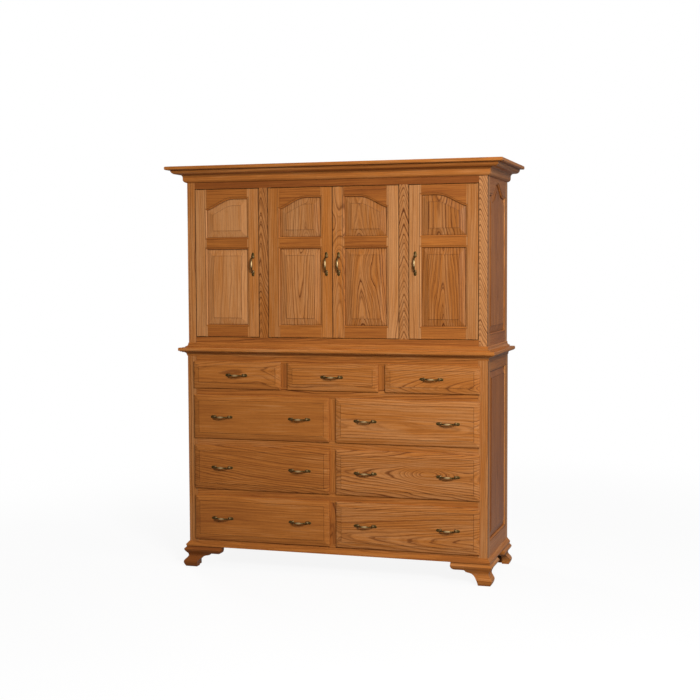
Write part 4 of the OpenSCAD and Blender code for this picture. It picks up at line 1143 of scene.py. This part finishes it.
def foot_wing(sizes, top, length, mitred, plain, board):
    """One wing of a bracket foot: a column of the face hangs from the case down to the scroll.

    Its face stands out by the ogee at each height, and near the corner it runs out to the mitre. Under the
    notch and in the hollow it is darkened, as exp(-t ** 2) of the distance from each: painted shade, partly
    stain.
    """
    spans = ((0, 44, 12), (45, 109, 26), (110, 163, 12), (164, 183, 9))
    xs = np.concatenate([np.linspace(*span) for span in spans]) * MM * length / sizes.length
    low = np.minimum(scroll(xs), top - 0.5 * MM)
    z = low[:, None] + np.linspace(0, 1, 28)[None, :] * (top - low)[:, None]
    out = np.zeros_like(z) if plain else ogee(z)
    lean = np.clip(1 - xs / sizes.mitre, 0, 1)[:, None] if mitred else np.zeros((len(xs), 1))
    x = xs[:, None] - lean * out
    notch, hollow = (z - 106 * MM) / (3 * MM), (z - 57 * MM) / (12 * MM)
    glaze = np.exp(-(notch**2)) + 0.4 * np.exp(-(hollow**2))
    front = np.stack([x, z, out, glaze], -1)
    thickness = sizes.thick - HAIR
    inner = xs[:, None] + lean * thickness
    back = np.stack([np.broadcast_to(inner, z.shape), z, np.full_like(z, -thickness), 0 * z], -1)
    return sheet(front, back, board)


def feet(sizes, ease):
    """The four bracket feet as {node: shells}, each of two wings and a glue block in their corner."""
    made = {}
    (_, front_y, top), (half, _, _) = corners("base_face_frame")
    back_y = corners("base_back_panel")[1][1]
    full, gap = sizes.length, sizes.thick + 2 * HAIR
    # The left feet take a deeper tone and a shade: painted shade on the side away from the key lamp
    for side, name, tone, shade in ((-1.0, "left", -1.0, 0.25), (1.0, "right", 0.1, 0.0)):
        x = side * half
        butt = side * (half - sizes.thick)
        for end, way, out, x0, y0, length, mitred, plain in (
            ("front", (-side, 0, 0), (0, -1, 0), x, front_y, full, True, False),
            ("front", (0, 1, 0), (side, 0, 0), x, front_y, full, True, False),
            ("back", (0, -1, 0), (side, 0, 0), x, back_y, full, False, False),
            ("back", (-side, 0, 0), (0, 1, 0), butt, back_y, full - sizes.thick, False, True),
        ):
            board = Board(0, 2, 0.0, "straight", 1.0, tone, shade)
            wing = foot_wing(sizes, top, length, mitred, plain, board)
            axes = np.array([way, (0, 0, 1), out], float)
            made.setdefault(f"{end}_{name}_foot", []).append(wing.placed(axes, (x0, y0, 0)))
        for end, y, inward in (("front", front_y, 1.0), ("back", back_y, -1.0)):
            block = plank(0, sizes.block, 0, sizes.block, sizes.block_height, sizes.block_height, 1, ease)
            corner = (side * (half - gap), y + inward * gap, sizes.block_lift)
            made[f"{end}_{name}_foot"].append(block.placed(np.diag([-side, inward, 1.0]), corner))
    return made


def with_wear_and_highlight(shell, share):
    """The shell, with the share of each point that is bright from wear, on a bow's grip also a painted
    highlight, as its first figure value.
    """
    shell.figure[:, 0] = share
    return shell


def lathed(profile, x, count):
    """A shell turned round the upright through x from pairs of a radius and a height, in millimetres."""
    radius, height = np.array(profile, float)[:, :1], np.array(profile, float)[:, 1:]
    a = np.linspace(0, 2 * math.pi, count, endpoint=False)
    return tube(np.stack([x + radius * np.cos(a), radius * np.sin(a), height + np.zeros_like(a)], -1) * MM)


def bow(reach, rise):
    """The bow of a pull, from one post to the other, in millimetres.

    It follows a flattened arch, |x / a| ** n + |z / b| ** n = 1, and swells towards its middle between two
    rings.
    """
    power, ring_place, ring_width = 3.0, 27.5, 1.2
    t = np.linspace(0, math.pi, 45)
    x = reach * np.sign(np.cos(t)) * np.abs(np.cos(t)) ** (2 / power)
    z = rise * np.sin(t) ** (2 / power)
    way = np.gradient(np.stack([x, z], 1), axis=0)
    way /= np.linalg.norm(way, axis=1)[:, None]
    share = np.clip(1 - np.abs(x) / 28.0, 0, 1)
    radius = 3.1 + 2.5 * np.sin(share * math.pi / 2) ** 1.6
    radius += 1.5 * np.exp(-(((np.abs(x) - ring_place) / ring_width) ** 2)) * (z > 15)
    a = np.linspace(0, 2 * math.pi, 16, endpoint=False)
    ring = radius[:, None]
    grid = [
        x[:, None] - ring * np.cos(a) * way[:, 1:2],
        ring * np.sin(a) + np.zeros_like(ring),
        z[:, None] + ring * np.cos(a) * way[:, 0:1],
    ]
    made = tube(np.stack(grid, -1) * MM)
    # The middle of the grip's crest is bright: wear where hands hold it, and a painted highlight
    high = np.clip((made.points[:, 2] / MM - 19.0) / 8.0, 0, 1)
    return with_wear_and_highlight(made, high * np.clip(1.3 - np.abs(made.points[:, 0]) / (15 * MM), 0, 1))


def rosette(x):
    """The turned rosette that an end of a pull stands on."""
    profile = [(8.5, 0), (8.5, 1.4), (7.6, 2.6), (5.6, 3.2), (4.4, 4.4), (5.2, 5.6), (4.6, 7.0), (3.6, 8.0)]
    made = lathed(profile, x, 24)
    return with_wear_and_highlight(made, 0.10 + 0.35 * (made.points[:, 2] > 4.9 * MM))


def leaf(reach, side):
    """The leaf beyond a post of a pull, in millimetres.

    From its root, u = 0, to its tip it narrows as (1 - u ** 6) ** 0.5 with lobes. Across, from v = -1 to 1,
    it is domed as (1 - v ** 2) ** 0.6, with a rib along its middle and veins as sines of u + 0.28 * |v|.
    """
    u = np.linspace(0, 1, 19)[:, None]
    v = np.linspace(-1, 1, 13)[None, :]
    lobes = 0.80 + 0.20 * np.abs(np.sin(math.pi * 2.5 * u))
    x = side * (reach + 22 * u) + 0 * v
    y = 8.2 * np.clip(1 - u**6, 0.002, 1) ** 0.5 * lobes * v
    dome = 2.6 * (1 - 0.55 * u) * (1 - v**2) ** 0.6 + 0.25
    veins = 0.45 * np.sin(26 * (u + 0.28 * np.abs(v))) * (1 - v**2) * (1 - u)
    rib = 0.8 * np.exp(-((v / 0.16) ** 2)) * (1 - u)
    front, back = (np.stack([x, y, z], -1) * MM for z in (dome + veins + rib, np.zeros_like(x)))
    made = sheet(front, back)
    return with_wear_and_highlight(made, np.clip((made.points[:, 2] / MM - 2.2) / 3.0, 0, 0.45))


def screw(x, depth):
    """A screw through boards of a depth, with its round head behind them, in millimetres."""
    profile = [(2.0, -0.2), (2.0, -depth), (4.0, -depth), (3.9, -depth - 1.6), (2.6, -depth - 2.6)]
    return with_wear_and_highlight(lathed(profile, x, 16), 0.3)


def pull_shells(hardware, depth):
    """A bow pull on the face z = 0, along x, with its screws through boards of a depth."""
    reach = hardware.centres / 2 / MM
    shells = [bow(reach, hardware.rise / MM)]
    for side in (-1.0, 1.0):
        shells += [rosette(side * reach), leaf(reach, side), screw(side * reach, depth / MM)]
    return shells


def pivot_pin(x, y, low, high, radius):
    """An upright pin that a door turns on."""
    a = np.linspace(0, 2 * math.pi, 24, endpoint=False)
    ring = [x + radius * np.cos(a), y + radius * np.sin(a)]
    return with_wear_and_highlight(tube(np.stack([np.stack([*ring, np.full(len(a), z)], 1) for z in (low, high)])), 0.3)


class CHEST_OT_face_frames(bpy.types.Operator):
    """Boards of the two face frames"""

    bl_idname = "chest.face_frames"
    bl_label = "Face frames"

    def execute(self, context):
        oak = finishes()["stained_oak"]
        ease = context.scene.chest_joinery.ease

        half_width = corners("upper_face_frame")[1][0]
        middle = sum(corners("upper_face_frame"))[2] / 2
        tallest_muntin, muntin_tone, rail_tone = 1.0, -0.3, -0.1

        def upper_figure(low, high):
            """Figure of a rail, a stile or a post, by its place in the frame."""
            if high[2] - low[2] < high[0] - low[0]:
                return "frieze" if low[2] > middle else "deck_rail", None
            hand = "left" if low[0] < 0 else "right"
            outermost = max(high[0], -low[0]) > 0.99 * half_width
            return hand + ("_stile" if outermost else "_post"), None

        def base_figure(low, high):
            """Figure and tone of a stile, a muntin or a rail, by its size."""
            width, height = high[0] - low[0], high[2] - low[2]
            if height > tallest_muntin:
                return "corner_stile", None
            return "wavy", muntin_tone if height > width else rail_tone

        for node, figure in (("base_face_frame", base_figure), ("upper_face_frame", upper_figure)):
            shells = planks_of(node, ease / 2, figure)
            make_piece(node + "_boards", shells, [node], "case", oak)
        return {"FINISHED"}


class CHEST_OT_sides(bpy.types.Operator):
    """Framed sides with their raised panels"""

    bl_idname = "chest.sides"
    bl_label = "Framed sides"

    def execute(self, context):
        oak = finishes()["stained_oak"]
        joinery = context.scene.chest_joinery
        front_w, back_w, arch = joinery.side_front, joinery.side_back, joinery.side_arch
        for case, hand, axes in (
            ("base", "left", LEFT),
            ("base", "right", RIGHT),
            ("upper", "left", LEFT),
            ("upper", "right", RIGHT),
        ):
            node = f"{case}_{hand}_side"
            low, high = corners(node)
            thick, width, height = high - low
            # The panels' darker tones are painted shade on the sides, for the weaker light that falls there
            if case == "base":
                panel_shade_tone = -0.8
                rails = joinery.base_side_bottom, height - joinery.base_side_top
                o = Opening(front_w, width - back_w, *rails)
            else:
                panel_shade_tone = -0.4
                rails = joinery.upper_side_bottom, height - joinery.upper_side_top + arch
                o = Opening(front_w, width - back_w, *rails, arch, cathedral)
            shells = framed(width, height, thick, front_w, back_w, [o], joinery, tone=0.1)
            shells.append(raised(o, joinery, "cathedral", panel_shade_tone))
            face = high[0] if hand == "right" else low[0]
            for shell in shells:
                shell.placed(axes, (face, low[1], low[2]))
            make_piece(node + "_framed", shells, [node], "case", oak)
        return {"FINISHED"}


class CHEST_OT_mouldings(bpy.types.Operator):
    """Crown, waist and base mouldings"""

    bl_idname = "chest.mouldings"
    bl_label = "Mouldings"

    def execute(self, context):
        oak = finishes()["stained_oak"]
        base, upper = corners("base_face_frame"), corners("upper_face_frame")
        back = corners("base_back_panel")[1][1]
        # The last number darkens each moulding's hollows: painted shade, partly stain
        for node, profile, (low, high), tone, stain in (
            ("crown_moulding", crown_profile(), upper, 0.05, 0.5),
            ("upper_base_moulding", upper_mould_profile(), upper, 0.0, 1.6),
            ("waist_cove", waist_cove_profile(), base, 0.0, 1.6),
            ("base_moulding", base_mould_profile(), base, 0.0, 1.6),
        ):
            shells = moulding(profile, high[0], low[1], back, corners(node)[0][2], tone, stain)
            make_piece(node + "_lengths", shells, [node], "case", oak)
        low, high = base
        under, thick = corners("waist_board")[0][2], 20 * MM
        shells = moulding(waist_nose_profile(), high[0], low[1], back, under, 0.2, 1.6)
        top = plank(-high[0], high[0], low[1], back, under + thick, thick, 0, HAIR, "cathedral")
        make_piece("waist_board_nosed", [*shells, top], ["waist_board"], "case", oak)
        return {"FINISHED"}


class CHEST_OT_feet(bpy.types.Operator):
    """Ogee bracket feet"""

    bl_idname = "chest.feet"
    bl_label = "Bracket feet"

    def execute(self, context):
        oak = finishes()["stained_oak"]
        scene = context.scene
        for node, shells in feet(scene.bracket_feet, scene.chest_joinery.ease).items():
            make_piece(node + "_bracket", shells, [node], "case", oak)
        return {"FINISHED"}


class CHEST_OT_doors(bpy.types.Operator):
    """Doors with an arched top rail and two raised panels each"""

    bl_idname = "chest.doors"
    bl_label = "Doors"

    def execute(self, context):
        oak = finishes()["stained_oak"]
        joinery = context.scene.chest_joinery
        for door in DOORS:
            low, high = corners(door + "_frame")
            width, height, thick = high[0] - low[0], high[2] - low[2], high[1] - low[1]
            left, right = joinery.stile, width - joinery.stile
            arch_top = height - joinery.door_top
            arch_low = arch_top - joinery.arch_open
            climb = half_arch if door in HUNG_LEFT else (lambda u: half_arch(1 - u))
            openings = [
                Opening(left, right, joinery.door_bottom, arch_low - joinery.door_middle),
                Opening(left, right, arch_low, arch_top, joinery.arch_drop, climb),
            ]
            origin = (low[0], low[1], low[2])
            shells = framed(width, height, thick, joinery.stile, joinery.stile, openings, joinery, door)
            for shell in shells:
                shell.placed(FRONT, origin)
            make_piece(door + "_boards", shells, [door + "_frame"], door, oak)
            panels = [
                raised(o, joinery, door + end).placed(FRONT, origin)
                for o, end in zip(openings, ("_lower", "_upper"))
            ]
            make_piece(door + "_raised_panels", panels, [door + "_panels"], door, oak)
        return {"FINISHED"}


class CHEST_OT_drawer_fronts(bpy.types.Operator):
    """Raised drawer fronts"""

    bl_idname = "chest.drawer_fronts"
    bl_label = "Drawer fronts"

    def execute(self, context):
        oak = finishes()["stained_oak"]
        joinery = context.scene.chest_joinery
        frame_y = corners("base_face_frame")[0][1]
        for drawer in DRAWERS:
            node = drawer + "_front"
            low, high = corners(node)
            width, height = high[0] - low[0], high[2] - low[2]
            shell = drawer_front(width, height, frame_y - low[1], high[1] - frame_y, joinery, drawer)
            shell.placed(FRONT, (low[0], frame_y, low[2]))
            make_piece(drawer + "_raised_front", [shell], [node], drawer, oak)
        return {"FINISHED"}


class CHEST_OT_inner_boards(bpy.types.Operator):
    """Drawer boxes, web frames, shelves and back panels"""

    bl_idname = "chest.inner_boards"
    bl_label = "Inner boards"

    def execute(self, context):
        made = finishes()
        joinery = context.scene.chest_joinery
        for drawer in DRAWERS:
            node = drawer + "_box"
            shells = planks_of(node, joinery.box_ease)
            make_piece(node + "_boards", shells, [node], drawer, made["inner_oak"])
        for node, slot in (
            ("base_web_frames", "inner_oak"),
            ("upper_case_boards", "inner_oak"),
            ("upper_shelves", "inner_oak"),
            ("base_back_panel", "oak_plywood"),
            ("upper_back_panel", "oak_plywood"),
        ):
            shells = planks_of(node, joinery.ease)
            make_piece(node + "_boards", shells, [node], "case", made[slot])
        # The small fittings keep the CAD's own shapes
        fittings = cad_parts["upper_fittings"].data
        fittings.materials.clear()
        fittings.materials.append(made["antique_brass"])
        return {"FINISHED"}


class CHEST_OT_pulls(bpy.types.Operator):
    """Bow pulls of the doors and drawers, with their screws and the doors' pivot pins"""

    bl_idname = "chest.pulls"
    bl_label = "Pulls"

    def execute(self, context):
        brass = finishes()["antique_brass"]
        hardware = context.scene.brass_hardware
        half_stile = context.scene.chest_joinery.stile / 2
        inset, seat, reach = hardware.pin_inset, hardware.pin_seat, hardware.pin_reach
        crease = 35.0
        for door in DOORS:
            low, high = corners(door + "_frame")
            hung_left = door in HUNG_LEFT
            x = high[0] - half_stile if hung_left else low[0] + half_stile
            pin_x = low[0] + inset if hung_left else high[0] - inset
            shells = pull_shells(hardware, hardware.door_depth)
            for shell in shells:
                shell.placed(UPRIGHT, (x, low[1], low[2] + hardware.door_height))
            for z0, z1 in ((low[2] - reach, low[2] + seat), (high[2] - seat, high[2] + reach - HAIR)):
                shells.append(pivot_pin(pin_x, low[1] + inset, z0, z1, hardware.pin_radius))
            node = door + "_hardware"
            make_piece(door + "_bow_pull", shells, [node], door, brass, crease)
        for drawer in DRAWERS:
            low, high = corners(drawer + "_front")
            xs = [low[0] + hardware.drawer_inset, high[0] - hardware.drawer_inset]
            if drawer.startswith("top"):
                xs = [(low[0] + high[0]) / 2]
            shells = []
            for x in xs:
                for shell in pull_shells(hardware, hardware.drawer_depth):
                    shells.append(shell.placed(FRONT, (x, low[1], (low[2] + high[2]) / 2)))
            node = drawer + "_pulls"
            make_piece(drawer + "_bow_pulls", shells, [node], drawer, brass, crease)
        return {"FINISHED"}


# Stage


def aim(thing, right, up, ahead, place):
    """Add an object to the scene at a place, looking ahead."""
    thing.matrix_world = Matrix(
        [[right[k], up[k], -ahead[k], place[k]] for k in range(3)] + [[0, 0, 0, 1]]
    )
    bpy.context.scene.collection.objects.link(thing)


def floor_material(studio):
    """Matt paper that turns plain white away from the chest where the camera sees it."""
    made = bpy.data.materials.new("pale_floor")
    made.use_nodes = True
    tree = made.node_tree
    matt = tree.nodes["Principled BSDF"]
    matt.inputs["Roughness"].default_value = 0.9
    matt.inputs["Specular IOR Level"].default_value = 0.0
    white = add(tree, "ShaderNodeEmission", {"Strength": 1.0})
    place = add(tree, "ShaderNodeTexCoord").outputs["Object"]
    far_off = add(tree, "ShaderNodeVectorMath", {0: place}, operation="LENGTH").outputs["Value"]
    near, far = studio.clear, 3 * studio.clear
    reach = {"Value": far_off, "From Min": near, "From Max": far, "To Min": studio.paper}
    fade = add(tree, "ShaderNodeMapRange", reach, interpolation_type="SMOOTHSTEP").outputs["Result"]
    seen = seen_ray(tree, studio.mirrored)
    share = math_node(tree, "MULTIPLY", seen, fade)
    tone = blend_colour(tree, seen, tuple(studio.bounce), tuple(studio.floor))
    tree.links.new(tone, matt.inputs["Base Color"])
    mixed = add(tree, "ShaderNodeMixShader", {0: share, 1: matt.outputs[0], 2: white.outputs[0]})
    tree.links.new(mixed.outputs[0], tree.nodes["Material Output"].inputs["Surface"])
    return made


def lay_floor(studio):
    """A wide floor under the chest."""
    far = 30.0
    mesh = bpy.data.meshes.new("floor")
    mesh.from_pydata([(-far, -far, 0), (far, -far, 0), (far, far, 0), (-far, far, 0)], [], [(0, 1, 2, 3)])
    mesh.materials.append(floor_material(studio))
    floor = bpy.data.objects.new("floor", mesh)
    bpy.context.scene.collection.objects.link(floor)


def light_world(studio):
    """Even light all round, which the camera sees as plain white."""
    world = bpy.data.worlds.new("studio")
    bpy.context.scene.world = world
    world.use_nodes = True
    tree = world.node_tree
    back = tree.nodes["Background"]
    shine = math_node(tree, "MULTIPLY_ADD", seen_ray(tree, studio.mirrored), 1.0 - studio.sky, studio.sky)
    tree.links.new(shine, back.inputs["Strength"])
    back.inputs["Color"].default_value = (1.0, 1.0, 1.0, 1.0)


def hang_lamp(name, place, power, width):
    """A square lamp that shines at the middle of the chest."""
    data = bpy.data.lights.new(name, "AREA")
    data.size, data.energy = width, power
    middle = np.array((0.0, 0.0, 0.9))
    ahead = middle - np.array(place)
    ahead /= np.linalg.norm(ahead)
    right = np.cross(ahead, (0, 0, 1))
    right /= np.linalg.norm(right)
    aim(bpy.data.objects.new(name, data), right, np.cross(right, ahead), ahead, place)


def stand_camera(studio):
    """The camera where the photograph was taken, turned by its heading, pitch and roll."""
    a, p, r = studio.heading, studio.pitch, studio.roll
    ahead = np.array([-math.sin(a) * math.cos(p), math.cos(a) * math.cos(p), -math.sin(p)])
    level_right = np.array([math.cos(a), math.sin(a), 0.0])
    level_up = np.cross(level_right, ahead)
    right = level_right * math.cos(r) + level_up * math.sin(r)
    up = level_up * math.cos(r) - level_right * math.sin(r)
    data = bpy.data.cameras.new("camera")
    data.lens = studio.lens
    data.sensor_width = 36.0
    data.clip_end = 100.0
    camera = bpy.data.objects.new("camera", data)
    aim(camera, right, up, ahead, studio.place)
    bpy.context.scene.camera = camera


class CHEST_OT_stage(bpy.types.Operator):
    """Floor, lamps and camera"""

    bl_idname = "chest.stage"
    bl_label = "Stage"

    def execute(self, context):
        studio = context.scene.studio_light
        lay_floor(studio)
        light_world(studio)
        for name in ("key", "top", "back"):
            hang_lamp(name, getattr(studio, name + "_place"), getattr(studio, name), studio.lamp_size)
        stand_camera(studio)
        context.scene.view_settings.view_transform = "Standard"
        return {"FINISHED"}


class CHEST_PT_panel(bpy.types.Panel):
    """Lists the chest's pieces"""

    bl_idname = "CHEST_PT_panel"
    bl_label = "Mule Chest"
    bl_space_type = "VIEW_3D"
    bl_region_type = "UI"
    bl_category = "Mule Chest"

    def draw(self, context):
        for maker in MAKERS:
            self.layout.operator(maker.bl_idname)
        for group in SETTINGS:
            box = self.layout.box()
            settings = getattr(context.scene, group)
            for name in settings.__annotations__:
                box.prop(settings, name)


SETTINGS = {
    "chest_joinery": ChestJoinery,
    "bracket_feet": BracketFeet,
    "brass_hardware": BrassHardware,
    "oak_figure": OakFigure,
    "stained_oak": StainedOak,
    "pale_oak": PaleOak,
    "oak_veneer": OakVeneer,
    "brass_finish": BrassFinish,
    "studio_light": StudioLight,
}
MAKERS = (
    CHEST_OT_face_frames,
    CHEST_OT_sides,
    CHEST_OT_mouldings,
    CHEST_OT_feet,
    CHEST_OT_doors,
    CHEST_OT_drawer_fronts,
    CHEST_OT_inner_boards,
    CHEST_OT_pulls,
    CHEST_OT_stage,
)


def register():
    """Tell Blender of the settings, the operators and the panel."""
    for kind in (*SETTINGS.values(), *MAKERS, CHEST_PT_panel):
        bpy.utils.register_class(kind)
    for name, kind in SETTINGS.items():
        setattr(bpy.types.Scene, name, bpy.props.PointerProperty(type=kind))


def unregister():
    """Take back all that register added."""
    for name in SETTINGS:
        delattr(bpy.types.Scene, name)
    for kind in reversed((*SETTINGS.values(), *MAKERS, CHEST_PT_panel)):
        bpy.utils.unregister_class(kind)


def main():
    """Make every piece and the stage."""
    register()
    for maker in MAKERS:
        group, name = maker.bl_idname.split(".")
        getattr(getattr(bpy.ops, group), name)()


if __name__ == "__main__":
    main()
